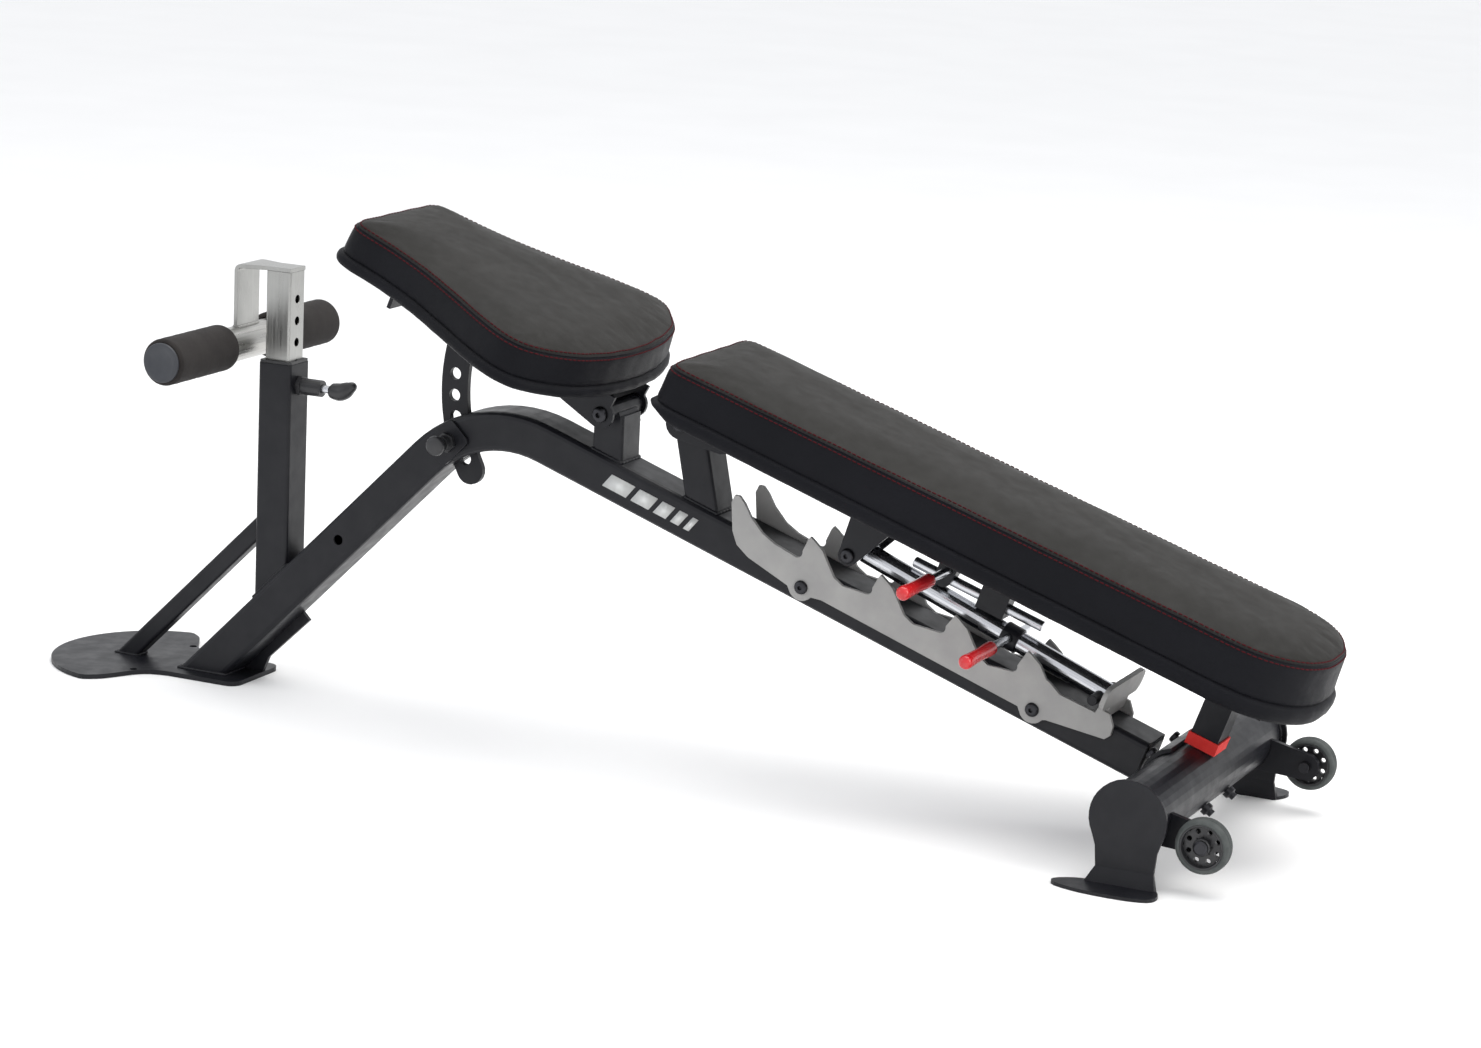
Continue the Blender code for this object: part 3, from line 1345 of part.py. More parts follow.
def foot_plate(name, sign):
    """A keyhole-shaped plate on the end of the cross tube, bent outwards at the floor into a foot."""
    thick = FOOT_PLATE_THICK
    face = CROSS_HALF + GAP
    centre = (CROSS_X, CROSS_Z)
    radius = 0.0455
    neck = 0.034
    bend_z = 0.021
    disc = arc_points(centre, radius, math.radians(-28), math.radians(208), 22)
    outline = disc + [
        (CROSS_X - neck - 0.0020, 0.045),
        (CROSS_X - neck, bend_z),
        (CROSS_X + neck, bend_z),
        (CROSS_X + neck + 0.0020, 0.045),
    ]
    obj = mesh_object(
        name, extruded(outline, thick / 2, "Y", sign * (face + thick / 2)), finish_name="black_paint"
    )
    # The foot flares outwards in plan: a sole on the floor with a sloping web up to the bend.
    sole = [
        (CROSS_X - neck, 0.0),
        (CROSS_X - 0.058, 0.006),
        (CROSS_X - 0.076, 0.020),
        (CROSS_X - 0.070, 0.034),
        (CROSS_X - 0.035, 0.044),
        (CROSS_X + 0.012, 0.045),
        (CROSS_X + 0.040, 0.038),
        (CROSS_X + 0.046, 0.022),
        (CROSS_X + 0.040, 0.006),
        (CROSS_X + neck, 0.0),
    ]
    curve = spline(sole, 3)
    plan = [(x, sign * (face + y)) for x, y in curve]
    join(obj, extruded(plan, 0.002, "Z", 0.002))
    web_low, web_high = 0.0012, bend_z + 0.0012
    inner = face + 0.0002
    outer = face + thick - 0.0002
    web = bmesh.new()
    spread = 0.014
    low = [
        web.verts.new((CROSS_X - neck - 0.012, sign * inner, web_low)),
        web.verts.new((CROSS_X + neck + 0.004, sign * inner, web_low)),
        web.verts.new((CROSS_X + neck + 0.004, sign * (outer + spread * 0.35), web_low)),
        web.verts.new((CROSS_X - neck - 0.012, sign * (outer + spread * 0.35), web_low)),
    ]
    high = [
        web.verts.new((CROSS_X - neck + 0.0002, sign * inner, web_high)),
        web.verts.new((CROSS_X + neck - 0.0002, sign * inner, web_high)),
        web.verts.new((CROSS_X + neck - 0.0002, sign * outer, web_high)),
        web.verts.new((CROSS_X - neck + 0.0002, sign * outer, web_high)),
    ]
    web.faces.new(low)
    web.faces.new(high)
    for k in range(4):
        j = (k + 1) % 4
        web.faces.new((low[k], low[j], high[j], high[k]))
    join(obj, web)
    return obj


def wheel_arm(name, sign):
    """A flat arm from the cross tube back to a wheel's axle."""
    inner = WHEEL_Y - WHEEL_HALF - 0.0015 - 0.007
    half = 0.0035
    rise = 0.016
    tip = arc_points((WHEEL_X, WHEEL_Z), rise, math.radians(-90), math.radians(78), 10)
    hug = CROSS_RADIUS + GAP
    outer = arc_points((CROSS_X, CROSS_Z), hug, math.radians(8), math.radians(-60), 8)
    obj = mesh_object(
        name, extruded(tip + outer, half, "Y", sign * (inner + half)), finish_name="black_paint"
    )
    cut(obj, cross_pin(WHEEL_X, WHEEL_Z, 0.004 + GAP, -0.3, 0.3))
    return obj


def wheel_axle(name, sign):
    """The shoulder bolt of a wheel, with its head outside the wheel and its nut inside the arm."""
    arm_in = WHEEL_Y - WHEEL_HALF - 0.0015 - 0.007
    out = WHEEL_Y + WHEEL_HALF
    profile = [
        (0, arm_in - 0.006),
        (0.0065, arm_in - 0.006),
        (0.0065, arm_in - GAP),
        (0.004, arm_in - GAP),
        (0.004, out + GAP),
        (0.0085, out + GAP),
        (0.0085, out + 0.002),
        (0.006, out + 0.004),
        (0, out + 0.004),
    ]
    bm = lathe(profile, (WHEEL_X, 0, WHEEL_Z), (0, sign, 0), 20)
    return mesh_object(name, bm, finish_name="black_bolt")


HUB_RADIUS = 0.0262


def wheel_hub(name, sign):
    """A moulded hub: bored centre, thin web with a ring of holes, and a rim under the tyre."""
    inner, outer = WHEEL_Y - WHEEL_HALF, WHEEL_Y + WHEEL_HALF
    web = 0.0022
    profile = [
        (0.004 + GAP, inner),
        (0.0095, inner),
        (0.0105, WHEEL_Y - web),
        (0.0232, WHEEL_Y - web),
        (0.0240, inner + 0.001),
        (HUB_RADIUS, inner + 0.001),
        (HUB_RADIUS, outer - 0.001),
        (0.0240, outer - 0.001),
        (0.0232, WHEEL_Y + web),
        (0.0105, WHEEL_Y + web),
        (0.0095, outer),
        (0.004 + GAP, outer),
    ]
    centre = (WHEEL_X, 0, WHEEL_Z)
    obj = mesh_object(
        name, lathe(profile, centre, (0, sign, 0), 28), (WHEEL_X, sign * WHEEL_Y, WHEEL_Z), "black_plastic"
    )
    for k in range(8):
        angle = 2 * math.pi * (k + 0.5) / 8
        x = WHEEL_X + 0.0170 * math.cos(angle)
        z = WHEEL_Z + 0.0170 * math.sin(angle)
        low, high = sorted((sign * (WHEEL_Y - 0.006), sign * (WHEEL_Y + 0.006)))
        cut(obj, cross_pin(x, z, 0.0033, low, high, 10))
    return obj


def wheel_tyre(name, sign):
    inner, outer = WHEEL_Y - WHEEL_HALF, WHEEL_Y + WHEEL_HALF
    bore = HUB_RADIUS + GAP
    profile = [
        (bore, inner + 0.0005),
        (WHEEL_RADIUS - 0.003, inner + 0.0005),
        (WHEEL_RADIUS - 0.0008, inner + 0.0035),
        (WHEEL_RADIUS, WHEEL_Y),
        (WHEEL_RADIUS - 0.0008, outer - 0.0035),
        (WHEEL_RADIUS - 0.003, outer - 0.0005),
        (bore, outer - 0.0005),
    ]
    centre = (WHEEL_X, 0, WHEEL_Z)
    return mesh_object(
        name, lathe(profile, centre, (0, sign, 0)), (WHEEL_X, sign * WHEEL_Y, WHEEL_Z), "grey_rubber"
    )


def rear_foot():
    cross_tube()
    rear_saddle()
    for side, sign in (("right", -1), ("left", 1)):
        foot_plate(f"foot_plate_{side}", sign)
        saddle_bolt(f"saddle_bolt_{side}", sign)
        wheel_arm(f"wheel_arm_{side}", sign)
        wheel_axle(f"wheel_axle_{side}", sign)
        wheel_hub(f"wheel_hub_{side}", sign)
        wheel_tyre(f"wheel_tyre_{side}", sign)


def centre_on_origin():
    """Moves every piece along X so that the origin is under the middle of the bench."""
    for obj in bpy.context.scene.objects:
        obj.location.x -= MIDDLE_X


def main():
    clear_scene()
    floor_plate()
    main_tube()
    foot_gusset()
    foot_brace()
    leg_post()
    post_sleeve()
    inner_post()
    roller_bracket()
    roller_tube()
    for side, sign in (("right", -1), ("left", 1)):
        roller_cap(f"roller_cap_{side}", sign)
        foam_grip(f"foam_grip_{side}", sign)
    post_pin()
    seat_pin()
    upright("seat_upright", SEAT_HINGE, 0.040, 0.050, 0.0)
    upright("back_upright", BACK_HINGE, 0.040, 0.050, math.radians(12))
    seat()
    backrest()
    strut()
    ladder()
    rear_foot()
    centre_on_origin()


main()
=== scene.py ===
"""Looks for the decline sit-up bench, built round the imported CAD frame. Metres, +Z up.

Steel pieces keep their CAD shape and get better materials. Pads, rollers, grips, wheels, knobs and bolt
heads are replaced by detailed pieces, and seams, stitching, staples and weld beads are added.
"""

import json
import math

import bmesh
import bpy
import numpy as np
from mathutils import Matrix, Vector
from mathutils.bvhtree import BVHTree


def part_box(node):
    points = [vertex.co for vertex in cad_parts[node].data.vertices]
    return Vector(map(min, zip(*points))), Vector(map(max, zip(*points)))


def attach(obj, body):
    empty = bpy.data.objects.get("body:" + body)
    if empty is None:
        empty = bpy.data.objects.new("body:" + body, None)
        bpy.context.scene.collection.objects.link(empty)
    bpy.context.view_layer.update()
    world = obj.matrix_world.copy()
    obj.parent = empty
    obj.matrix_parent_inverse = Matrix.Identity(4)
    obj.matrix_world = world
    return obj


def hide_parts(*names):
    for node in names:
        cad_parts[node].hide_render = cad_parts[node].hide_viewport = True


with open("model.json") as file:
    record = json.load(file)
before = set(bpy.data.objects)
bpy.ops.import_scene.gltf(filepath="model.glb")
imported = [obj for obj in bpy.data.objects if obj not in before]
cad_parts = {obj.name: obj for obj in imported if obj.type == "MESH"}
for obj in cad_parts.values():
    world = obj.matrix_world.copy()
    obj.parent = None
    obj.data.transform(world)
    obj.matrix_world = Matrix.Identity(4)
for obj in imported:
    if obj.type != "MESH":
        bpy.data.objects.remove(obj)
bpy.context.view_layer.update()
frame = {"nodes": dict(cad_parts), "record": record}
JOINTS = {joint["name"]: joint for joint in frame["record"]["behaviour"]["joints"]}


# ---------------------------------------------------------------- shading


class Shader:
    """A node material: a Principled shader with helpers that add and join nodes."""

    def __init__(self, name, colour, roughness, metallic=0.0, **more):
        self.material = bpy.data.materials.new(name)
        self.material.use_nodes = True
        self.tree = self.material.node_tree
        self.main = self.tree.nodes["Principled BSDF"]
        self.set("Base Color", (*colour, 1.0))
        self.set("Roughness", roughness)
        self.set("Metallic", metallic)
        for key, value in more.items():
            self.set(key.replace("_", " ").title().replace("Ior", "IOR"), value)
        self.place = self.node("ShaderNodeTexCoord").outputs["Object"]

    def set(self, name, value):
        self.main.inputs[name].default_value = value

    def node(self, kind, **values):
        made = self.tree.nodes.new(kind)
        for key, value in values.items():
            if hasattr(made, key):
                setattr(made, key, value)
            else:
                made.inputs[key.replace("_", " ").title()].default_value = value
        return made

    def link(self, output, target):
        self.tree.links.new(output, target)

    def stretched(self, scale):
        made = self.node("ShaderNodeMapping")
        made.inputs["Scale"].default_value = scale
        self.link(self.place, made.inputs["Vector"])
        return made.outputs["Vector"]

    def noise(self, scale, detail=3.0, stretch=None, rough=0.5):
        made = self.node("ShaderNodeTexNoise")
        made.inputs["Scale"].default_value = scale
        made.inputs["Detail"].default_value = detail
        made.inputs["Roughness"].default_value = rough
        self.link(self.stretched(stretch) if stretch else self.place, made.inputs["Vector"])
        return made.outputs["Fac"]

    def cells(self, scale, feature="F1", output="Distance", random=1.0):
        made = self.node("ShaderNodeTexVoronoi")
        made.feature = feature
        made.inputs["Scale"].default_value = scale
        made.inputs["Randomness"].default_value = random
        self.link(self.place, made.inputs["Vector"])
        return made.outputs[output]

    def remap(self, value, low, high, to_low, to_high):
        made = self.node("ShaderNodeMapRange")
        for name, number in zip(("From Min", "From Max", "To Min", "To Max"), (low, high, to_low, to_high)):
            made.inputs[name].default_value = number
        self.link(value, made.inputs["Value"])
        return made.outputs["Result"]

    def patches(self, noise, low, high, to_low=0.0, to_high=1.0):
        """Noise of a given (scale, detail, ...), with its middle stretched to a range."""
        return self.remap(self.noise(*noise), low, high, to_low, to_high)

    def mix(self, factor, a, b):
        made = self.node("ShaderNodeMix")
        made.data_type = "RGBA"
        self.link(factor, made.inputs["Factor"])
        for socket, colour in ((made.inputs["A"], a), (made.inputs["B"], b)):
            if isinstance(colour, tuple):
                socket.default_value = (*colour, 1.0)
            else:
                self.link(colour, socket)
        return made.outputs["Result"]

    def multiply(self, a, b):
        made = self.node("ShaderNodeMath")
        made.operation = "MULTIPLY"
        for socket, value in zip(made.inputs, (a, b)):
            if isinstance(value, (int, float)):
                socket.default_value = value
            else:
                self.link(value, socket)
        return made.outputs["Value"]

    def add(self, a, b):
        made = self.node("ShaderNodeMath")
        made.operation = "ADD"
        self.link(a, made.inputs[0])
        self.link(b, made.inputs[1])
        return made.outputs["Value"]

    def colour(self, output):
        self.link(output, self.main.inputs["Base Color"])

    def roughness(self, output):
        self.link(output, self.main.inputs["Roughness"])

    def bump(self, *layers, edge=0.0):
        """Each layer is (height, distance in metres, strength). edge rounds sharp edges by that radius."""
        normal = None
        if edge:
            soft = self.node("ShaderNodeBevel")
            soft.samples = 4
            soft.inputs["Radius"].default_value = edge
            normal = soft.outputs["Normal"]
        for height, distance, strength in layers:
            made = self.node("ShaderNodeBump")
            made.inputs["Distance"].default_value = distance
            made.inputs["Strength"].default_value = strength
            self.link(height, made.inputs["Height"])
            if normal:
                self.link(normal, made.inputs["Normal"])
            normal = made.outputs["Normal"]
        if normal:
            self.link(normal, self.main.inputs["Normal"])

    def edge_highlight_mask(self, radius, strength=6.0):
        """Brighter near sharp edges, broken up by noise: a painted highlight along the edges."""
        soft = self.node("ShaderNodeBevel")
        soft.samples = 4
        soft.inputs["Radius"].default_value = radius
        flat = self.node("ShaderNodeNewGeometry")
        dot = self.node("ShaderNodeVectorMath")
        dot.operation = "DOT_PRODUCT"
        self.link(soft.outputs["Normal"], dot.inputs[0])
        self.link(flat.outputs["Normal"], dot.inputs[1])
        edge = self.remap(dot.outputs["Value"], 1.0, 1.0 - 1.0 / strength, 0.0, 1.0)
        patchy = self.remap(self.noise(120, 4), 0.45, 0.7, 0.0, 1.0)
        return self.multiply(edge, patchy)


def powder_coat(name, colour, light, roughness, edge_highlight_amount, edge=0.0009):
    """Powder-coated steel: slightly mottled, with orange peel, and a painted highlight along its edges."""
    shader = Shader(name, colour, roughness, specular_ior_level=0.26)
    mottled = shader.mix(shader.patches((30, 4), 0.35, 0.7), colour, light)
    # A lighter colour mixed in along sharp edges: a painted highlight.
    edge_highlight_colour = tuple(c * 3 + 0.05 for c in light)
    shader.colour(shader.mix(shader.multiply(shader.edge_highlight_mask(0.0012), edge_highlight_amount), mottled, edge_highlight_colour))
    shader.roughness(shader.patches((55, 3), 0.3, 0.7, roughness - 0.05, roughness + 0.07))
    shader.bump((shader.noise(700, 2), 0.00012, 0.35), (shader.noise(160, 2), 0.0002, 0.12), edge=edge)
    return shader.material


def plated(name, colour, roughness, stretch, contrast=0.05, edge=0.0008):
    """Plated steel with faint drawing lines along its length."""
    shader = Shader(name, colour, roughness, 1.0)
    lines = shader.noise(260, 3, stretch)
    clouds = shader.noise(22, 4)
    darker = tuple(c * 0.82 for c in colour)
    streaks = shader.remap(shader.multiply(lines, clouds), 0.12, 0.42, 0.0, 1.0)
    shader.colour(shader.mix(streaks, darker, colour))
    shader.roughness(shader.remap(lines, 0.3, 0.7, roughness - contrast, roughness + contrast))
    shader.bump((lines, 0.00004, 0.25), (shader.noise(900, 2), 0.00004, 0.2), edge=edge)
    return shader.material


def bright_chrome(name):
    """Polished chrome with a very faint cloudiness."""
    shader = Shader(name, (0.60, 0.61, 0.63), 0.24, 1.0)
    cloudy = shader.patches((14, 3), 0.35, 0.7)
    shader.colour(shader.mix(cloudy, (0.56, 0.57, 0.60), (0.62, 0.63, 0.66)))
    shader.roughness(shader.patches((40, 3), 0.3, 0.7, 0.22, 0.28))
    shader.bump((shader.noise(300, 2), 0.00002, 0.1), edge=0.0003)
    return shader.material


def vinyl(name, colour, light, roughness=0.5, shine=0.2):
    """Upholstery vinyl: a fine pebbled grain, creased between the pebbles, with painted shade in the creases
    and a soft sheen.
    """
    soft = {"specular_ior_level": shine, "sheen_weight": 0.03, "sheen_roughness": 0.45}
    shader = Shader(name, colour, roughness, **soft)
    shader.main.inputs["Sheen Tint"].default_value = (0.9, 0.88, 0.86, 1.0)
    cloudy = shader.patches((9, 5), 0.35, 0.68)
    pebble = shader.cells(900)
    crease = shader.remap(shader.cells(900, "DISTANCE_TO_EDGE"), 0.0, 0.18, 0.0, 1.0)
    base = shader.mix(cloudy, colour, light)
    # The creases between the pebbles are painted darker: painted shade.
    shader.colour(shader.mix(crease, tuple(c * 0.72 for c in colour), base))
    shader.roughness(shader.patches((60, 3), 0.3, 0.7, roughness - 0.05, roughness + 0.06))
    shader.bump(
        (shader.noise(45, 4), 0.0006, 0.18), (crease, 0.00016, 0.5), (pebble, 0.00012, 0.3)
    )
    return shader.material


def foam_skin(name):
    """Closed-cell foam: matt brown-black with fine open pores, painted darker in the pores as shade."""
    soft = {"specular_ior_level": 0.12, "sheen_weight": 0.05, "sheen_roughness": 0.6}
    shader = Shader(name, (0.028, 0.023, 0.022), 0.88, **soft)
    pores = shader.remap(shader.cells(1300), 0.0, 0.5, 0.0, 1.0)
    # The pores are painted darker, in patches: painted shade in the pits.
    shader.colour(
        shader.mix(
            shader.remap(shader.multiply(pores, shader.noise(35, 4)), 0.1, 0.5, 0.0, 1.0),
            (0.012, 0.010, 0.010),
            (0.026, 0.023, 0.022),
        )
    )
    shader.bump(
        (shader.noise(70, 4), 0.0007, 0.3),
        (pores, 0.00025, 0.6),
        (shader.noise(2500, 1), 0.0001, 0.3),
    )
    return shader.material


def plastic(name, colour, light, roughness, grain=0.25, coat=0.0):
    shader = Shader(name, colour, roughness, specular_ior_level=0.5, coat_weight=coat, coat_roughness=0.08)
    shader.colour(shader.mix(shader.patches((48, 4), 0.35, 0.7), colour, light))
    low = max(roughness - 0.06, 0.05)
    shader.roughness(shader.patches((90, 3), 0.3, 0.7, low, roughness + 0.06))
    shader.bump((shader.cells(1500), 0.00008, grain), (shader.noise(200, 3), 0.0002, 0.12), edge=0.0005)
    return shader.material


def rubber(name, colour, light):
    shader = Shader(name, colour, 0.72, specular_ior_level=0.35)
    dusty = shader.patches((75, 5), 0.42, 0.72)
    shader.colour(shader.mix(dusty, colour, light))
    shader.roughness(shader.patches((120, 3), 0.3, 0.7, 0.62, 0.84))
    shader.bump((shader.noise(1100, 3), 0.0002, 0.4), (shader.noise(150, 3), 0.0003, 0.2), edge=0.0006)
    return shader.material


def thread(name):
    """Twisted upholstery thread, with painted shade in the grooves of its twist."""
    shader = Shader(name, (0.06, 0.004, 0.006), 0.7, specular_ior_level=0.1)
    wave = shader.node("ShaderNodeTexWave")
    wave.inputs["Scale"].default_value = 900
    wave.inputs["Distortion"].default_value = 2.0
    shader.link(shader.place, wave.inputs["Vector"])
    # The low parts of the twist are painted darker as shade.
    shader.colour(shader.mix(wave.outputs["Fac"], (0.030, 0.003, 0.005), (0.085, 0.007, 0.011)))
    shader.bump((wave.outputs["Fac"], 0.0002, 0.6))
    return shader.material


def floor_paint(name):
    shader = Shader(name, (0.93, 0.93, 0.93), 0.75, specular_ior_level=0.15)
    cloudy = shader.patches((3, 3), 0.3, 0.7)
    shader.colour(shader.mix(cloudy, (0.92, 0.92, 0.92), (0.94, 0.94, 0.94)))
    return shader.material


BLACK = powder_coat("black_powder_coat", (0.0070, 0.0073, 0.0100), (0.011, 0.0113, 0.014), 0.38, 0.07)
GREY = powder_coat("grey_powder_coat", (0.31, 0.305, 0.30), (0.36, 0.355, 0.345), 0.40, 0.10)
ZINC = plated("zinc_plate", (0.43, 0.43, 0.415), 0.33, (1.0, 1.0, 0.06), 0.07)
ZINC_ROUND = plated("zinc_plate_drawn", (0.46, 0.455, 0.435), 0.30, (1.0, 0.05, 1.0), 0.07)
CHROME = bright_chrome("chrome_plate")
BOLT = plated("black_zinc_plate", (0.05, 0.05, 0.055), 0.36, (1.0, 1.0, 1.0), 0.08, 0.0004)
# Top and side panels: partly a real difference between the panels, and partly painted light and shade. The
# top is painted lighter and warmer, the sides darker and bluer.
VINYL_TOP_LIT = vinyl("vinyl_top_panel_lit", (0.016, 0.0152, 0.0138), (0.024, 0.0228, 0.021), 0.55, 0.10)
VINYL_SIDE_SHADED = vinyl("vinyl_side_panel_shaded", (0.0060, 0.0063, 0.0085), (0.009, 0.0092, 0.0125), 0.50, 0.09)
DUST_COVER = vinyl("black_dust_cover", (0.012, 0.012, 0.012), (0.018, 0.018, 0.018), 0.85)
FOAM = foam_skin("foam_skin")
PLASTIC = plastic("black_plastic", (0.017, 0.017, 0.019), (0.026, 0.026, 0.028), 0.38)
END_PLASTIC = plastic("end_cap_plastic", (0.024, 0.027, 0.034), (0.034, 0.037, 0.044), 0.48)
RED = plastic("red_grip_plastic", (0.50, 0.010, 0.016), (0.60, 0.018, 0.022), 0.24, 0.10, 0.35)
RED_RUBBER = rubber("red_rubber", (0.58, 0.022, 0.018), (0.66, 0.035, 0.028))
TREAD = rubber("wheel_tread", (0.050, 0.056, 0.055), (0.075, 0.082, 0.080))
THREAD = thread("red_thread")
MARK = plastic("pale_print", (0.62, 0.63, 0.62), (0.70, 0.71, 0.70), 0.5, 0.1)


# ---------------------------------------------------------------- mesh helpers


def new_piece(name, bm, material, body=None, replaces=(), smooth=35.0):
    """Makes a piece of a bmesh drawn in world space, rides it on a body and lets it stand for CAD nodes."""
    bmesh.ops.recalc_face_normals(bm, faces=bm.faces)
    mesh = bpy.data.meshes.new(name)
    bm.to_mesh(mesh)
    bm.free()
    mesh.shade_smooth()
    if smooth:
        mesh.set_sharp_from_angle(angle=math.radians(smooth))
    obj = bpy.data.objects.new(name, mesh)
    bpy.context.scene.collection.objects.link(obj)
    for one in material if isinstance(material, (list, tuple)) else (material,):
        mesh.materials.append(one)
    if body:
        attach(obj, body)
    if replaces:
        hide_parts(*replaces)
    return obj


def basis(axis):
    axis = Vector(axis).normalized()
    side = axis.orthogonal().normalized()
    return axis, side, axis.cross(side)


def lathe(bm, profile, base, axis, sides=64):
    """Turns a (radius, distance) profile round an axis. A profile that starts off the axis is a ring."""
    axis, side, other = basis(axis)
    rings = []
    for radius, along in profile:
        centre = Vector(base) + axis * along
        if radius < 1e-7:
            rings.append([bm.verts.new(centre)])
            continue
        ring = []
        for k in range(sides):
            a = 2 * math.pi * k / sides
            ring.append(bm.verts.new(centre + side * radius * math.cos(a) + other * radius * math.sin(a)))
        rings.append(ring)
    closed = profile[0][0] > 1e-7
    for a, b in zip(rings, rings[1:] + (rings[:1] if closed else [])):
        join_rings(bm, a, b)


def spoke(side, other, angle):
    """The unit vector at an angle in the plane of two directions."""
    return side * math.cos(angle) + other * math.sin(angle)


def ring_verts(bm, middle, side, other, reach, sides=36):
    angles = [2 * math.pi * k / sides for k in range(sides)]
    return [bm.verts.new(middle + spoke(side, other, a) * reach) for a in angles]


def hexagon_verts(bm, middle, side, other, size, sides=36):
    """A six-sided ring with as many vertices as a round one; size is its corner radius."""
    ring = []
    for k in range(sides):
        a = 2 * math.pi * k / sides
        flat = (a % (math.pi / 3)) - math.pi / 6
        reach = size * math.cos(math.pi / 6) / math.cos(flat)
        ring.append(bm.verts.new(middle + spoke(side, other, a) * reach))
    return ring


def skin(bm, rings):
    """Joins the rings in order and closes both ends."""
    for a, b in zip(rings, rings[1:]):
        join_rings(bm, a, b)
    bm.faces.new(rings[0])
    bm.faces.new(rings[-1])


def rounded(radius, along, soft, start, end, steps):
    """Profile points on a rounded corner of radius soft, whose centre is at (radius, along)."""
    return [(radius + soft * math.cos(a), along + soft * math.sin(a)) for a in turns(start, end, steps)]


def rectangle(x0, x1, half):
    return ((x0, -half), (x1, -half), (x1, half), (x0, half))


def join_rings(bm, a, b):
    count = max(len(a), len(b))
    if count == 1:
        return
    for k in range(count):
        j = (k + 1) % count
        if len(a) == 1:
            bm.faces.new((a[0], b[j], b[k]))
        elif len(b) == 1:
            bm.faces.new((a[k], a[j], b[0]))
        else:
            bm.faces.new((a[k], a[j], b[j], b[k]))


def tube_along(bm, path, radii, sides=8, closed=False, up=(0, 0, 1)):
    """A round bar along a path; radii is one number or one for each point."""
    points = [Vector(p) for p in path]
    if not isinstance(radii, (list, tuple)):
        radii = [radii] * len(points)
    rings = []
    count = len(points)
    for i, point in enumerate(points):
        ahead = points[(i + 1) % count] if closed or i < count - 1 else point
        behind = points[i - 1] if closed or i > 0 else point
        along = (ahead - behind).normalized()
        side = along.cross(Vector(up))
        if side.length < 1e-4:
            side = along.orthogonal()
        side.normalize()
        other = along.cross(side)
        rings.append(ring_verts(bm, point, side, other, radii[i], sides))
    for a, b in zip(rings, rings[1:] + (rings[:1] if closed else [])):
        join_rings(bm, a, b)
    if not closed:
        bm.faces.new(rings[0])
        bm.faces.new(rings[-1])


def arc(centre, radius, start, end, steps):
    return [
        (
            centre[0] + radius * math.cos(start + (end - start) * i / steps),
            centre[1] + radius * math.sin(start + (end - start) * i / steps),
        )
        for i in range(steps + 1)
    ]


def spline(points, steps):
    padded = [points[0]] + list(points) + [points[-1]]
    found = []
    for i in range(1, len(padded) - 2):
        p0, p1, p2, p3 = (Vector(padded[i + k]) for k in (-1, 0, 1, 2))
        for step in range(steps):
            t = step / steps
            a = 2 * p1 + (p2 - p0) * t
            b = (2 * p0 - 5 * p1 + 4 * p2 - p3) * t * t
            found.append(0.5 * (a + b + (3 * p1 - p0 - 3 * p2 + p3) * t**3))
    found.append(Vector(points[-1]))
    return [tuple(p) for p in found]


def resampled(points, spacing, closed=True):
    """The same path with evenly spaced points."""
    path = [Vector(p) for p in points]
    if closed:
        path.append(path[0].copy())
    lengths = [0.0]
    for a, b in zip(path, path[1:]):
        lengths.append(lengths[-1] + (b - a).length)
    count = max(int(round(lengths[-1] / spacing)), 4)
    found = []
    index = 0
    for k in range(count if closed else count + 1):
        want = lengths[-1] * k / count
        while index < len(lengths) - 2 and lengths[index + 1] < want:
            index += 1
        span = max(lengths[index + 1] - lengths[index], 1e-9)
        found.append(path[index].lerp(path[index + 1], (want - lengths[index]) / span))
    return found


def ripple(seed, i, amount):
    """A repeatable small variation for point i."""
    return 1.0 + amount * math.sin(i * 2.39996 + seed) * math.cos(i * 0.7 + seed * 2)


# ---------------------------------------------------------------- tilted pads


class Slope:
    """A pad's own frame: u down the slope from its hinge, n off it, y across."""

    def __init__(self, joint, degrees):
        self.hinge = Vector(JOINTS[joint]["pos_m"])
        angle = math.radians(degrees)
        self.u = Vector((math.cos(angle), 0, -math.sin(angle)))
        self.n = Vector((math.sin(angle), 0, math.cos(angle)))

    def at(self, u, n, y=0.0):
        return self.hinge + self.u * u + self.n * n + Vector((0, y, 0))

    def matrix(self):
        columns = (self.u, Vector((0, 1, 0)), self.n)
        turn = Matrix([[c[r] for c in columns] for r in range(3)]).to_4x4()
        return Matrix.Translation(self.hinge) @ turn


SEAT = Slope("seat_tilt", 20.5)
BACK = Slope("backrest_tilt", 18.5)


def mirrored(half):
    return half + [(u, -y) for u, y in reversed(half[1:-1])]


def seat_outline():
    half = [
        (-0.375, 0.0), (-0.375, 0.048), (-0.3745, 0.084), (-0.366, 0.104), (-0.346, 0.1135),
        (-0.306, 0.1185), (-0.265, 0.1275), (-0.225, 0.1415), (-0.189, 0.1575), (-0.134, 0.1825),
        (-0.104, 0.193), (-0.08, 0.1955), (-0.058, 0.1895), (-0.036, 0.168), (-0.014, 0.131),
        (-0.001, 0.088), (0.0055, 0.046), (0.0075, 0.0),
    ]  # fmt: skip
    return [tuple(p)[:2] for p in resampled([(u, y, 0) for u, y in mirrored(spline(half, 6))], 0.006)]


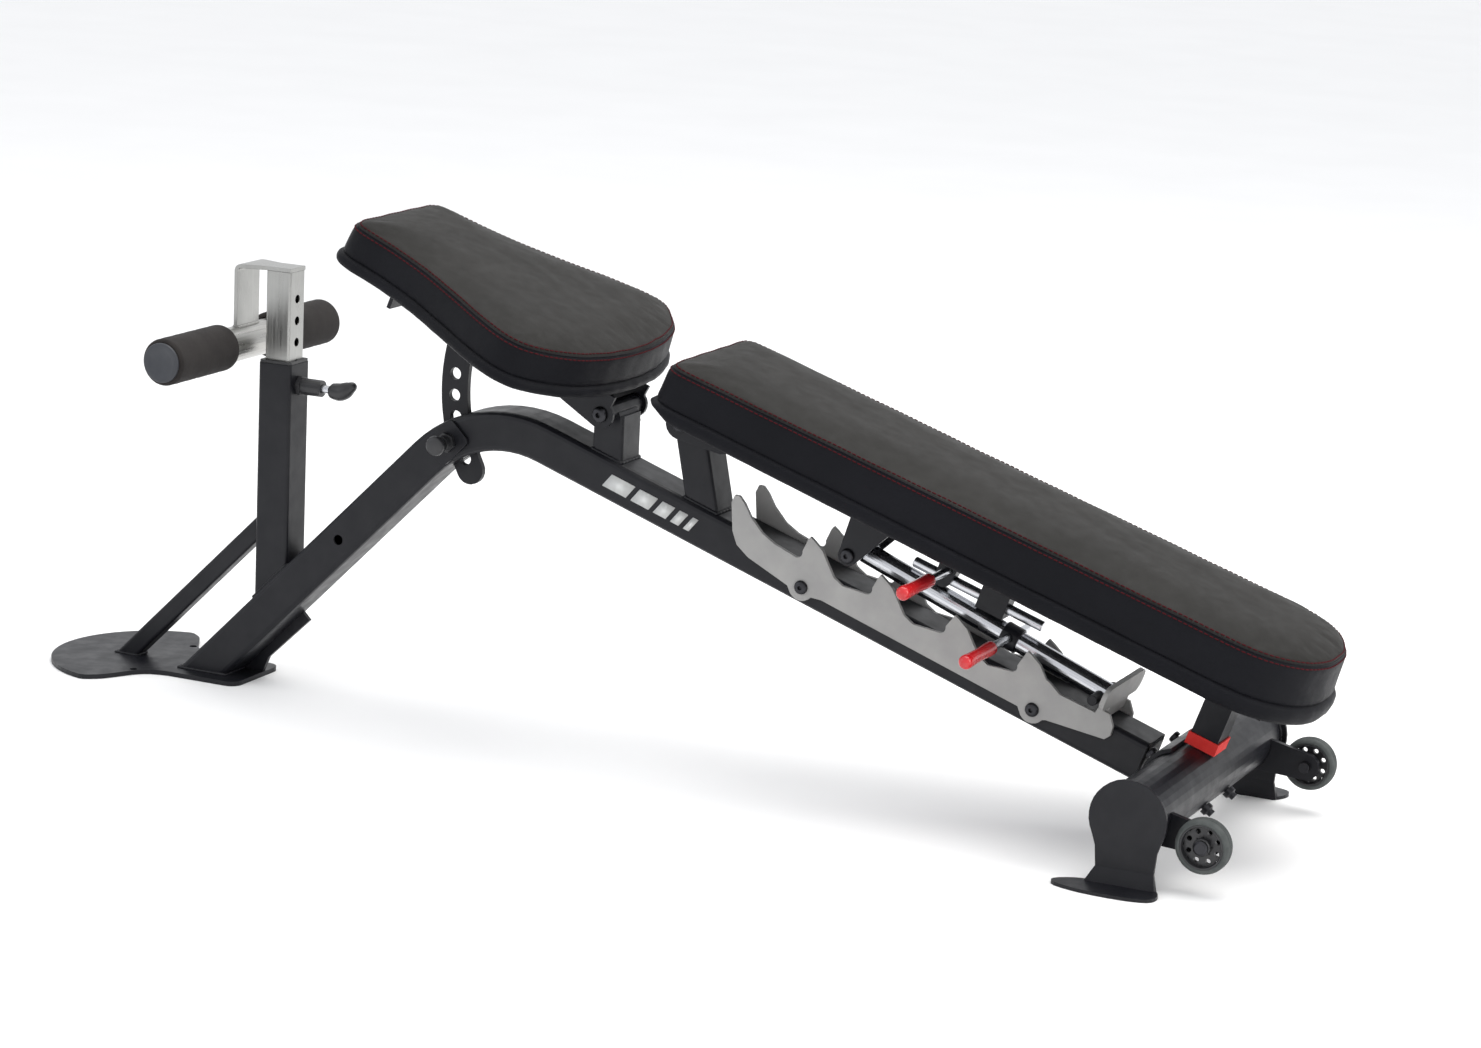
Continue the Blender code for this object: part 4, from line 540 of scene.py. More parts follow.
def back_outline():
    start, end, half, corner = -0.024, 0.828, 0.1175, 0.028
    tail = half * 0.98 * 0.88
    curve = [(start, 0.0)] + arc((start + corner, half - corner), corner, math.pi, math.pi / 2, 8)
    for i in range(25):
        angle = math.pi / 2 * (1 - i / 24)
        curve.append((end - tail * (1 - math.cos(angle)), half * math.sin(angle) ** 0.85 if i < 24 else 0.0))
    return [tuple(p)[:2] for p in resampled([(u, y, 0) for u, y in mirrored(curve)], 0.006)]


def outward(outline):
    """The outward direction at each point of an outline."""
    count = len(outline)
    found = []
    area = 0
    for i in range(count):
        here, ahead = outline[i], outline[(i + 1) % count]
        area += here[0] * ahead[1] - ahead[0] * here[1]
    sign = 1 if area > 0 else -1
    for i in range(count):
        a, b = Vector(outline[i - 2]), Vector(outline[(i + 2) % count])
        along = (b - a).normalized()
        found.append(Vector((along.y, -along.x)) * sign)
    return found


def ring_at(outline, normals, outset, height):
    """The outline moved outwards, at a height that may depend on u. Big insets shrink it instead."""
    ring = []
    for (u, y), normal in zip(outline, normals):
        ring.append((u + normal.x * outset, y + normal.y * outset, height(u)))
    return ring


def solid_from_rings(rings, close_low=True, close_high=True):
    bm = bmesh.new()
    made = [[bm.verts.new(p) for p in ring] for ring in rings]
    for a, b in zip(made, made[1:]):
        join_rings(bm, a, b)
    if close_low:
        bm.faces.new(made[0])
    if close_high:
        bm.faces.new(made[-1])
    return bm


def inflate(obj, pinned, pressure, cap):
    """Blows the cover up with the cloth solver, holding the pinned points, and keeps the result."""
    scene = bpy.context.scene
    start = np.empty(len(obj.data.vertices) * 3)
    obj.data.vertices.foreach_get("co", start)
    start = start.reshape(-1, 3)
    group = obj.vertex_groups.new(name="held")
    group.add([int(i) for i in np.nonzero(pinned(start))[0]], 1.0, "REPLACE")
    cloth = obj.modifiers.new("cloth", "CLOTH")
    cloth.settings.quality = 5
    cloth.settings.mass = 0.3
    cloth.settings.tension_stiffness = 18
    cloth.settings.compression_stiffness = 18
    cloth.settings.shear_stiffness = 8
    cloth.settings.bending_stiffness = 0.6
    cloth.settings.use_pressure = True
    cloth.settings.uniform_pressure_force = pressure
    cloth.settings.effector_weights.gravity = 0
    cloth.settings.vertex_group_mass = "held"
    cloth.collision_settings.use_collision = False
    for number in range(1, 21):
        scene.frame_set(number)
    graph = bpy.context.evaluated_depsgraph_get()
    blown = obj.evaluated_get(graph).to_mesh()
    end = np.empty(len(blown.vertices) * 3)
    blown.vertices.foreach_get("co", end)
    end = end.reshape(-1, 3)
    obj.evaluated_get(graph).to_mesh_clear()
    obj.modifiers.remove(cloth)
    obj.vertex_groups.remove(group)
    scene.frame_set(1)
    move = end - start
    length = np.linalg.norm(move, axis=1, keepdims=True)
    move *= np.tanh(length / cap) * cap / np.maximum(length, 1e-9)
    obj.data.vertices.foreach_set("co", (start + move).ravel())
    obj.data.update()


def apply_modifiers(obj):
    graph = bpy.context.evaluated_depsgraph_get()
    made = bpy.data.meshes.new_from_object(obj.evaluated_get(graph))
    obj.modifiers.clear()
    old = obj.data
    obj.data = made
    bpy.data.meshes.remove(old)


def surface_path(tree, outline, normals, height):
    """Points and outward directions on a pad's surface, all the way round, at one height."""
    found = []
    for (u, y), normal in zip(outline, normals):
        start = Vector((u + normal.x * 0.05, y + normal.y * 0.05, height(u)))
        hit, face, _, _ = tree.ray_cast(start, Vector((-normal.x, -normal.y, 0)))
        if hit:
            found.append((hit, face))
    return found


def stitches(name, tree, outline, normals, heights, slope, body):
    """Rows of separate stitches sewn through the cover, each a short bent thread."""
    bm = bmesh.new()
    for row, height in enumerate(heights):
        path = surface_path(tree, outline, normals, height)
        points = resampled([p for p, _ in path], 0.0066)
        for i, point in enumerate(points):
            after = points[(i + 1) % len(points)]
            middle = (point + after) / 2
            hit, normal, _, _ = tree.find_nearest(middle)
            along = (after - point).normalized()
            half = 0.0026
            lift = 0.00045
            sunk = -0.0006
            line = [
                hit - along * half + normal * sunk,
                hit - along * half * 0.72 + normal * lift * 0.8,
                hit + normal * lift * ripple(row, i, 0.15),
                hit + along * half * 0.72 + normal * lift * 0.8,
                hit + along * half + normal * sunk,
            ]
            tube_along(bm, line, [0.0005, 0.00078, 0.00082, 0.00078, 0.0005], 6, up=normal)
    bmesh.ops.transform(bm, matrix=slope.matrix(), verts=bm.verts)
    return new_piece(name, bm, THREAD, body)


def cushion(prefix, slope, outline, body, levels, crown, nodes, voxel=0.005):
    """A sewn pad: an inflated upper block, a padded lower roll, seam cord, double stitching and staples."""
    normals = outward(outline)
    under, bottom, seam, stitch, rim = levels
    profile = [
        (-0.010, lambda u: seam(u) - 0.004),
        (-0.0035, lambda u: seam(u) - 0.001),
        (-0.0010, lambda u: seam(u) + 0.004),
        (-0.0014, lambda u: (seam(u) + stitch(u)) / 2),
        (-0.0030, lambda u: stitch(u) - 0.008),
        (-0.0052, lambda u: stitch(u) - 0.002),
        (-0.0080, lambda u: rim(u) - 0.0050),
        (-0.0120, lambda u: rim(u) - 0.0022),
        (-0.0185, lambda u: rim(u) + 0.0008),
        (-0.0270, lambda u: rim(u) + 0.0030),
        (-0.0360, lambda u: rim(u) + 0.0044),
    ]
    rings = [ring_at(outline, normals, outset, height) for outset, height in profile]
    block = new_piece(f"{prefix}_cushion", solid_from_rings(rings), (VINYL_TOP_LIT, VINYL_SIDE_SHADED), smooth=None)
    remesh = block.modifiers.new("even", "REMESH")
    remesh.mode = "VOXEL"
    remesh.voxel_size = voxel
    apply_modifiers(block)
    low = lambda p: p[:, 2] < np.array([seam(u) + 0.002 for u in p[:, 0]])
    edge = lambda p: np.abs(p[:, 2] - np.array([stitch(u) for u in p[:, 0]])) < voxel * 0.62
    inflate(block, lambda p: low(p) | edge(p), 4.0, crown)
    block.modifiers.new("smooth", "SUBSURF").levels = 1
    apply_modifiers(block)
    shape_cover(block, outline, seam, stitch, rim, crown)
    # Faces above the stitch line get the top vinyl and those below it the side vinyl: two panels, with
    # painted light on the top and painted shade on the sides.
    for polygon in block.data.polygons:
        centre = polygon.center
        polygon.material_index = 0 if centre.z > stitch(centre.x) else 1
    block.data.shade_smooth()
    tree = BVHTree.FromPolygons(
        [v.co.copy() for v in block.data.vertices], [tuple(p.vertices) for p in block.data.polygons]
    )
    rows = (lambda u: stitch(u) - 0.0032, lambda u: stitch(u) + 0.0030)
    stitches(f"{prefix}_stitching", tree, outline, normals, rows, slope, body)
    cord = bmesh.new()
    line = [hit for hit, _ in surface_path(tree, outline, normals, stitch)]
    tube_along(cord, resampled(line, 0.004), 0.0009, 8, closed=True)
    bmesh.ops.transform(cord, matrix=slope.matrix(), verts=cord.verts)
    new_piece(f"{prefix}_seam", cord, VINYL_SIDE_SHADED, body)
    block.data.transform(slope.matrix())
    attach(block, body)
    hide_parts(*nodes)
    lower_roll(prefix, slope, outline, normals, under, bottom, seam, body)
    return block


def shape_cover(block, outline, seam, stitch, rim, crown):
    """Pulls the side panel in between its seams and presses the stitched seam in; the step that would settle
    the crown is switched off.
    """
    count = len(block.data.vertices)
    points = np.empty(count * 3)
    block.data.vertices.foreach_get("co", points)
    points = points.reshape(-1, 3)
    normals = np.empty(count * 3)
    block.data.vertices.foreach_get("normal", normals)
    normals = normals.reshape(-1, 3)
    edge = np.array(outline)
    for point, normal in zip(points, normals):
        u, _, n = point
        low, high, top = seam(u), stitch(u), rim(u)
        flat = Vector((normal[0], normal[1], 0))
        sideways = flat.length
        if low < n < high and sideways > 0.3:
            t = (n - low) / (high - low)
            point -= np.array(flat.normalized()) * 0.0022 * math.sin(math.pi * t) ** 0.8 * sideways
        groove = math.exp(-(((n - high) / 0.0022) ** 2)) * min(1.0, sideways * 1.6)
        point -= normal * 0.0013 * groove
        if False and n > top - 0.001:
            near = np.min(np.hypot(edge[:, 0] - u, edge[:, 1] - point[1]))
            point[2] += crown * 0.75 * (1 - math.exp(-near / 0.030))
        point += normal * 0.00035 * math.sin(u * 61 + point[1] * 47) * math.sin(point[1] * 83 - u * 23)
    block.data.vertices.foreach_set("co", points.ravel())
    block.data.update()


def lower_roll(prefix, slope, outline, normals, under, bottom, seam, body):
    """The band under the lower seam, over the board's rim, with staples and the dust cover inside it."""
    profile = [
        (-0.0210, lambda u: under),
        (-0.0185, lambda u: min(under, bottom(u) + 0.0016)),
        (-0.0140, lambda u: bottom(u) + 0.0002),
        (-0.0045, lambda u: bottom(u) + 0.0001),
        (-0.0005, lambda u: bottom(u) + 0.0014),
        (0.0020, lambda u: bottom(u) * 0.75 + seam(u) * 0.25),
        (0.0032, lambda u: (bottom(u) + seam(u)) / 2),
        (0.0026, lambda u: seam(u) - 0.0040),
        (-0.0002, lambda u: seam(u) - 0.0008),
        (-0.0052, lambda u: seam(u) + 0.0010),
        (-0.0120, lambda u: seam(u) + 0.0012),
    ]
    rings = [ring_at(outline, normals, outset, height) for outset, height in profile]
    for k, ring in enumerate(rings[4:9]):
        for i, (u, y, n) in enumerate(ring):
            pucker = 0.00045 * math.sin(i * 0.9 + k * 0.4) * math.sin(i * 0.37)
            ring[i] = (u + normals[i].x * pucker, y + normals[i].y * pucker, n)
    bm = solid_from_rings(rings)
    bmesh.ops.transform(bm, matrix=slope.matrix(), verts=bm.verts)
    roll = new_piece(f"{prefix}_lower_roll", bm, VINYL_SIDE_SHADED, body, smooth=60)
    wires = bmesh.new()
    line = [(u + n.x * -0.011, y + n.y * -0.011, bottom(u)) for (u, y), n in zip(outline, normals)]
    line = resampled(line, 0.028)
    for i, point in enumerate(line):
        along = (line[(i + 1) % len(line)] - point).normalized()
        a, b = point - along * 0.0055, point + along * 0.0055
        drop = Vector((0, 0, -0.0001))
        rise = Vector((0, 0, 0.001))
        tube_along(wires, [a + rise, a + drop, b + drop, b + rise], 0.0004, 5)
    bmesh.ops.transform(wires, matrix=slope.matrix(), verts=wires.verts)
    new_piece(f"{prefix}_staples", wires, ZINC, body)
    panel = [ring_at(outline, normals, -0.0205, lambda u: under + drop) for drop in (0.0001, -0.0001)]
    cover = solid_from_rings(panel)
    bmesh.ops.transform(cover, matrix=slope.matrix(), verts=cover.verts)
    new_piece(f"{prefix}_dust_cover", cover, DUST_COVER, body)


def make_pads():
    cushion(
        "seat",
        SEAT,
        seat_outline(),
        "seat",
        (0.0282, lambda u: 0.0282, lambda u: 0.0430, lambda u: 0.0795, lambda u: 0.0865),
        0.009,
        ("seat_pad", "seat_board"),
    )
    cushion(
        "back",
        BACK,
        back_outline(),
        "backrest",
        (
            0.0250,
            lambda u: 0.0250 - 0.0083 * min(1.0, max(0.0, (u + 0.010) / 0.022)),
            lambda u: 0.0345 + 0.006 * u,
            lambda u: 0.0785 + 0.013 * u,
            lambda u: 0.0855 + 0.014 * u,
        ),
        0.008,
        ("back_pad", "back_board"),
    )


# ---------------------------------------------------------------- rollers, grips, wheels


def axis_box(node):
    low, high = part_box(node)
    return Vector(low), Vector(high), (Vector(low) + Vector(high)) / 2


def foam_rollers():
    for side, sign in (("right", -1), ("left", 1)):
        node = f"foam_grip_{side}"
        low, high, middle = axis_box(node)
        radius = (high.z - low.z) / 2
        base = Vector((middle.x, 0, middle.z))
        near, far = sorted((abs(low.y), abs(high.y)))
        bore = radius - 0.0064
        soft = 0.0055
        profile = [(bore, near + 0.001)]
        profile += rounded(radius - soft, near + soft, soft, -90, 0, 7)
        steps = 26
        for i in range(1, steps):
            along = near + soft + (far - near - 2 * soft) * i / steps
            profile.append((radius * (1 + 0.006 * math.sin(i * 1.7) * math.sin(i * 0.6)), along))
        profile += rounded(radius - soft, far - soft, soft, 0, 90, 7)
        profile.append((bore, far - 0.001))
        bm = bmesh.new()
        lathe(bm, profile, base, (0, sign, 0), 72)
        new_piece(f"foam_roller_{side}", bm, FOAM, f"foam_{side}", (node,), 50)
        cap_node = f"roller_cap_{side}"
        low, high, _ = axis_box(cap_node)
        end = max(abs(low.y), abs(high.y))
        wide = (high.z - low.z) / 2
        cap = [(0, end - 0.0175), (0.0196, end - 0.0175), (0.0196, end - 0.0032), (wide, end - 0.0032)]
        cap += rounded(wide - 0.0018, end - 0.0018, 0.0018, 0, 90, 5)
        cap += [(wide * 0.72, end - 0.0001), (wide * 0.66, end - 0.0008)]
        cap += [(wide * 0.2, end - 0.0009), (0, end - 0.0009)]
        bm = bmesh.new()
        lathe(bm, cap, base, (0, sign, 0), 64)
        new_piece(f"roller_end_{side}", bm, END_PLASTIC, "leg_roller", (cap_node,), 40)


def turns(start, end, steps):
    return [math.radians(start + (end - start) * i / steps) for i in range(steps + 1)]


def red_grips():
    for rod, body in (("back_rod", "backrest"), ("strut_rod", "strut")):
        node = f"{rod}_grip"
        low, high, middle = axis_box(node)
        near, far = sorted((abs(low.y), abs(high.y)))
        radius = (high.z - low.z) / 2
        profile = [(0.0053, near), (radius * 0.86, near)]
        profile += [(radius * 0.98, near + 0.0012), (radius, near + 0.003)]
        length = far - near
        for i in range(1, 14):
            t = i / 14
            waist = 1 - 0.10 * math.sin(math.pi * t) ** 1.5
            profile.append((radius * waist, near + 0.003 + (length - 0.011) * t))
        tip = radius * 0.85
        profile += [(radius * math.cos(a), far - tip + tip * math.sin(a)) for a in turns(0, 88, 9)]
        profile = [(0, far - 0.006), (0.0053, far - 0.006)] + profile + [(0, far)]
        bm = bmesh.new()
        lathe(bm, profile, (middle.x, 0, middle.z), (0, -1, 0), 40)
        new_piece(f"{rod}_handle", bm, RED, body, (node,), 40)


def wheels():
    for side, sign in (("right", -1), ("left", 1)):
        low, high, middle = axis_box(f"wheel_tyre_{side}")
        radius = (high.z - low.z) / 2
        half = (high.y - low.y) / 2
        centre = Vector((middle.x, 0, middle.z))
        near, far = abs(middle.y) - half, abs(middle.y) + half
        mid = abs(middle.y)
        bead = radius * 0.80
        tyre = [(bead, near + 0.001)]
        crown = [(0.00, 0.86), (0.04, 0.925), (0.12, 0.97), (0.25, 0.99)]
        crown += [(0.30, 0.996), (0.32, 0.975), (0.35, 0.975), (0.37, 0.999)]
        crown += [(0.48, 1.0), (0.485, 0.978), (0.515, 0.978), (0.52, 1.0)]
        crown += [(0.63, 0.999), (0.65, 0.975), (0.68, 0.975), (0.70, 0.996)]
        crown += [(0.75, 0.99), (0.88, 0.97), (0.96, 0.925), (1.00, 0.86)]
        tyre += [(radius * r, near + 0.0005 + (far - near - 0.001) * t) for t, r in crown]
        tyre.append((bead, far - 0.001))
        bm = bmesh.new()
        lathe(bm, tyre, centre, (0, sign, 0), 72)
        body = f"wheel_{side}"
        new_piece(f"tyre_{side}", bm, TREAD, body, (f"wheel_tyre_{side}",), 30)
        make_hub(side, sign, centre, mid, near, far, bead - 0.0003, body)


def make_hub(side, sign, centre, mid, near, far, rim, body):
    """Hub, thin web with a ring of round holes, and a rim: the web is drawn as a plate with real holes."""
    axis = Vector((0, sign, 0))
    bm = bmesh.new()
    boss = 0.0100
    web = 0.0024
    low_side = [(0.0043, near + 0.0003), (boss - 0.001, near + 0.0003), (boss, near + 0.0013)]
    high_side = [(boss, far - 0.0013), (boss - 0.001, far - 0.0003), (0.0043, far - 0.0003)]
    lathe(bm, low_side + high_side, centre, axis, 48)
    inner = rim - 0.0024
    low_side = [(inner, near + 0.0022), (inner + 0.0008, near + 0.0008), (rim, near + 0.0008)]
    high_side = [(rim, far - 0.0008), (inner + 0.0008, far - 0.0008), (inner, far - 0.0022)]
    lathe(bm, low_side + high_side, centre, axis, 64)
    holes = 8
    hole = 0.0030
    ring = (boss + inner) / 2 + 0.0012
    around = 12
    for front in (mid - web, mid + web):
        for k in range(holes):
            a0 = 2 * math.pi * k / holes
            a1 = 2 * math.pi * (k + 1) / holes
            am = (a0 + a1) / 2
            corners = []
            for j in range(around):
                angle = 2 * math.pi * j / around
                along, across = math.cos(angle), math.sin(angle)
                x = ring * math.cos(am) + hole * (along * math.cos(am) - across * math.sin(am))
                z = ring * math.sin(am) + hole * (along * math.sin(am) + across * math.cos(am))
                corners.append(bm.verts.new(centre + Vector((x, sign * front, z))))
            outer = []
            for j in range(around):
                angle = 2 * math.pi * j / around
                cx, cz = math.cos(angle), math.sin(angle)
                turn = am + (a1 - a0) / 2 * max(-1.0, min(1.0, cz * 1.35))
                if cx > 0:
                    reach = ring + (inner + 0.0004 - ring) * max(-1.0, min(1.0, cx * 1.35))
                else:
                    reach = ring + (ring - boss + 0.0004) * max(-1.0, cx * 1.35)
                away = Vector((reach * math.cos(turn), sign * front, reach * math.sin(turn)))
                outer.append(bm.verts.new(centre + away))
            join_rings(bm, corners, outer)
    for k in range(holes):
        am = 2 * math.pi * (k + 0.5) / holes
        middle = centre + Vector((ring * math.cos(am), 0, ring * math.sin(am)))
        lathe_sleeve(bm, middle, axis, mid - web, mid + web, hole, around)
    new_piece(f"hub_{side}", bm, PLASTIC, body, (f"wheel_hub_{side}",), 35)


def lathe_sleeve(bm, base, axis, low, high, radius, sides):
    rings = []
    for along in (low, high):
        turn = [2 * math.pi * k / sides for k in range(sides)]
        offsets = [Vector((radius * math.cos(a), 0, radius * math.sin(a))) for a in turn]
        rings.append([bm.verts.new(base + axis * along + offset) for offset in offsets])
    join_rings(bm, *rings)


# ---------------------------------------------------------------- knobs and bolts


def post_knob():
    """The thumb-shaped knob of the post's pull pin, turned up at its tip."""
    low, high, middle = axis_box("post_pin_knob")
    wide = (high.z - low.z) / 2 * 1.08
    base = Vector((low.x, 0, middle.z))
    length = (high.x - low.x) * 1.22
    path = []
    radii = []
    for i in range(25):
        t = i / 24
        lift = 0.0115 * max(0.0, t - 0.35) ** 1.7 / 0.65**1.7
        path.append(base + Vector((length * t, 0, -0.0012 * math.sin(math.pi * min(1.0, t * 1.4)) + lift)))
        swell = 0.72 + 0.26 * math.sin(math.pi * min(1.0, t * 1.25)) ** 0.8
        taper = 1.0 if t < 0.6 else math.sqrt(max(0.0, 1 - ((t - 0.6) / 0.4) ** 2.4)) * 0.95 + 0.05
        edge = min(1.0, 0.55 + t * 8)
        radii.append(wide * swell * taper * edge)
    bm = bmesh.new()
    tube_along(bm, path, radii, 28, up=(0, 1, 0))
    new_piece("post_knob", bm, PLASTIC, "post_pin", ("post_pin_knob",), 50)


def seat_knob():
    low, high, middle = axis_box("seat_pin_knob")
    radius = (high.x - low.x) / 2
    length = high.y - low.y
    base = Vector((middle.x, high.y, middle.z))
    neck = 0.0130
    profile = [(0, 0), (radius * 0.62, 0), (radius * 0.66, 0.0006), (radius * 0.68, 0.004)]
    profile += [(radius * 0.86, 0.0065), (radius * 0.98, 0.0085), (radius, 0.0105), (radius * 0.97, 0.0125)]
    for a in turns(12, 90, 7)[:-1]:
        profile.append((radius * 0.93 * math.cos(a), neck + (length - neck) * math.sin(a)))
    profile.append((0, length))
    bm = bmesh.new()
    lathe(bm, profile, base, (0, -1, 0), 48)
    for vert in bm.verts:
        offset = vert.co - base
        reach = math.hypot(offset.x, offset.z)
        along = -offset.y
        if reach > radius * 0.9 and 0.006 < along < 0.0135:
            angle = math.atan2(offset.z, offset.x)
            vert.co -= Vector((offset.x, 0, offset.z)) * 0.035 * (0.5 + 0.5 * math.cos(angle * 16))
    new_piece("seat_knob", bm, PLASTIC, "seat_pin", ("seat_pin_knob",), 50)


def button_head(bm, base, axis, radius, height, hex_size):
    """A domed screw head with a six-sided socket."""
    axis, side, other = basis(axis)
    top = Vector(base) + axis * height
    profile = [(radius * 0.97, 0), (radius, height * 0.12)]
    land = hex_size * 1.2
    for a in turns(10, 90, 7):
        profile.append((land + (radius - land) * math.cos(a), height * (0.12 + 0.88 * math.sin(a))))
    rings = [ring_verts(bm, Vector(base) + axis * along, side, other, reach) for reach, along in profile]
    for depth in (height, height * 0.25):
        rings.append(hexagon_verts(bm, top + axis * (depth - height), side, other, hex_size))
    skin(bm, rings)


def dome_nut(bm, base, axis, radius, height):
    """A hexagon with a domed cap on a washer."""
    axis, side, other = basis(axis)
    washer, washer_top = radius * 1.05, height * 0.16
    lathe(bm, [(0, 0), (washer, 0), (washer, washer_top), (0, washer_top)], base, axis, 36)
    rings = []
    for shrink, along in ((0.96, 0.16), (1.0, 0.22), (1.0, 0.58), (0.93, 0.66)):
        middle = Vector(base) + axis * height * along
        rings.append(hexagon_verts(bm, middle, side, other, radius * 0.84 * shrink))
    for a in turns(20, 80, 5):
        reach, along = radius * 0.70 * math.cos(a), height * (0.62 + 0.38 * math.sin(a))
        rings.append(ring_verts(bm, Vector(base) + axis * along, side, other, reach))
    skin(bm, rings)


def through_bolts():
    for node, body, grip in (
        ("ladder_bolt_front", "frame", 0.0045),
        ("ladder_bolt_rear", "frame", 0.0045),
        ("seat_hinge_bolt", "seat", 0.0055),
        ("back_hinge_bolt", "backrest", 0.0055),
        ("strut_pivot_bolt", "backrest", 0.0050),
    ):
        low, high, middle = axis_box(node)
        radius = (high.x - low.x) / 2
        bm = bmesh.new()
        shank = radius * 0.55
        inner = high.y - grip
        profile = [(0, -inner), (shank, -inner), (shank, inner), (0, inner)]
        lathe(bm, profile, (middle.x, 0, middle.z), (0, 1, 0), 32)
        button_head(bm, (middle.x, -inner, middle.z), (0, -1, 0), radius, grip, radius * 0.36)
        dome_nut(bm, (middle.x, inner, middle.z), (0, 1, 0), radius * 0.93, grip * 1.35)
        new_piece(f"{node}_detail", bm, BOLT, body, (node,), 35)


def weld(bm, path, radius, closed=False, seed=0):
    """A rippled bead along a path."""
    points = resampled(path, 0.0017, closed)
    radii = []
    for i in range(len(points)):
        wave = 0.80 + 0.20 * abs(math.sin(i * 0.62 + seed))
        radii.append(radius * wave * ripple(seed, i, 0.06))
    tube_along(bm, points, radii, 8, closed)


def ring_path(centre, axis, radius, steps=48):
    _, side, other = basis(axis)
    return [
        Vector(centre) + spoke(side, other, 2 * math.pi * k / steps) * radius
        for k in range(steps)
    ]


# ---------------------------------------------------------------- welds on the frame


REAR_SLOPE = math.radians(19.05)
FRONT_SLOPE = math.radians(45.3)


def find_rear_line():
    """z + x tan(slope) of the rear leg's top face, from the highest such vertex behind the uprights."""
    mesh = frame["nodes"]["main_tube"].data
    best = -9.0
    for vertex in mesh.vertices:
        if vertex.co.x > 0.2:
            best = max(best, vertex.co.z + vertex.co.x * math.tan(REAR_SLOPE))
    return best


def find_front_line():
    """z - x tan(slope) of the front leg's upper face."""
    mesh = frame["nodes"]["main_tube"].data
    best = -9.0
    for vertex in mesh.vertices:
        if vertex.co.x < -0.45:
            best = max(best, vertex.co.z - vertex.co.x * math.tan(FRONT_SLOPE))
    return best


REAR_LINE = find_rear_line()
FRONT_LINE = find_front_line()


def side_span(points):
    return min(p.x for p in points), max(p.x for p in points)


def frame_welds():
    """Beads round the feet of the uprights, posts and braces, and round the ends of the cross tube."""
    proud = 0.0006
    upright_half, post_half, tube_half, brace_half = 0.0250, 0.0232, 0.0305, 0.0115
    bm = bmesh.new()
    for node in ("seat_upright", "back_upright"):
        mesh = frame["nodes"][node].data
        feet = [v.co for v in mesh.vertices if v.co.z < REAR_LINE - v.co.x * math.tan(REAR_SLOPE) + 0.004]
        path = []
        for x, y in rectangle(*side_span(feet), upright_half):
            path.append(Vector((x, y, REAR_LINE - x * math.tan(REAR_SLOPE) + proud)))
        weld(bm, path, 0.0022, True, 1)
    low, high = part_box("leg_post")
    path = []
    for x, y in rectangle(low[0], high[0], post_half):
        path.append(Vector((x, y, FRONT_LINE + x * math.tan(FRONT_SLOPE) + proud)))
    weld(bm, path, 0.0024, True, 2)
    plate_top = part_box("floor_plate")[1][2]
    for node, half, radius, seed in (
        ("main_tube", tube_half, 0.0024, 3),
        ("foot_brace", brace_half, 0.0018, 4),
    ):
        mesh = frame["nodes"][node].data
        toe = [v.co for v in mesh.vertices if v.co.z < plate_top + 0.002]
        path = [Vector((x, y, plate_top + 0.0005)) for x, y in rectangle(*side_span(toe), half)]
        weld(bm, path, radius, True, seed)
    head = [v.co for v in mesh.vertices if v.co.x > low[0] - 0.002]
    z0, z1 = min(v.z for v in head), max(v.z for v in head)
    corners = ((-brace_half, z0), (brace_half, z0), (brace_half, z1), (-brace_half, z1))
    path = [Vector((low[0] - 0.0004, y, z)) for y, z in corners]
    weld(bm, path, 0.0018, True, 5)
    low, high, middle = axis_box("cross_tube")
    for sign in (-1, 1):
        centre = Vector((middle.x, sign * (high.y - proud), middle.z))
        weld(bm, ring_path(centre, (0, 1, 0), (high.z - low.z) / 2 + 0.0004), 0.0022, True, 6)
    piece = new_piece("frame_weld_beads", bm, BLACK, "frame", smooth=80)


def roller_welds():
    bm = bmesh.new()
    low, high, middle = axis_box("roller_tube")
    bracket_low, _, _ = axis_box("roller_bracket")
    radius = (high.z - low.z) / 2
    half = 0.0250
    x0 = bracket_low.x
    for x in (x0 - 0.0004, x0 + 0.0054):
        z = middle.z + math.sqrt(max(radius**2 - (x - middle.x) ** 2, 0)) + 0.0004
        weld(bm, [Vector((x, -half, z)), Vector((x, half, z))], 0.0017, False, 7)
    piece = new_piece("roller_weld_beads", bm, ZINC_ROUND, "leg_roller", smooth=80)


def tube_bolt():
    """The domed bolt on top of the main tube, just in front of the cross tube."""
    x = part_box("cross_tube")[0][0] + 0.0210
    base = Vector((x, 0, REAR_LINE - x * math.tan(REAR_SLOPE)))
    axis = (math.sin(REAR_SLOPE), 0, math.cos(REAR_SLOPE))
    bm = bmesh.new()
    button_head(bm, base - Vector(axis) * 0.0004, axis, 0.0078, 0.0058, 0.0026)
    new_piece("tube_top_bolt", bm, BOLT, "frame", smooth=35)


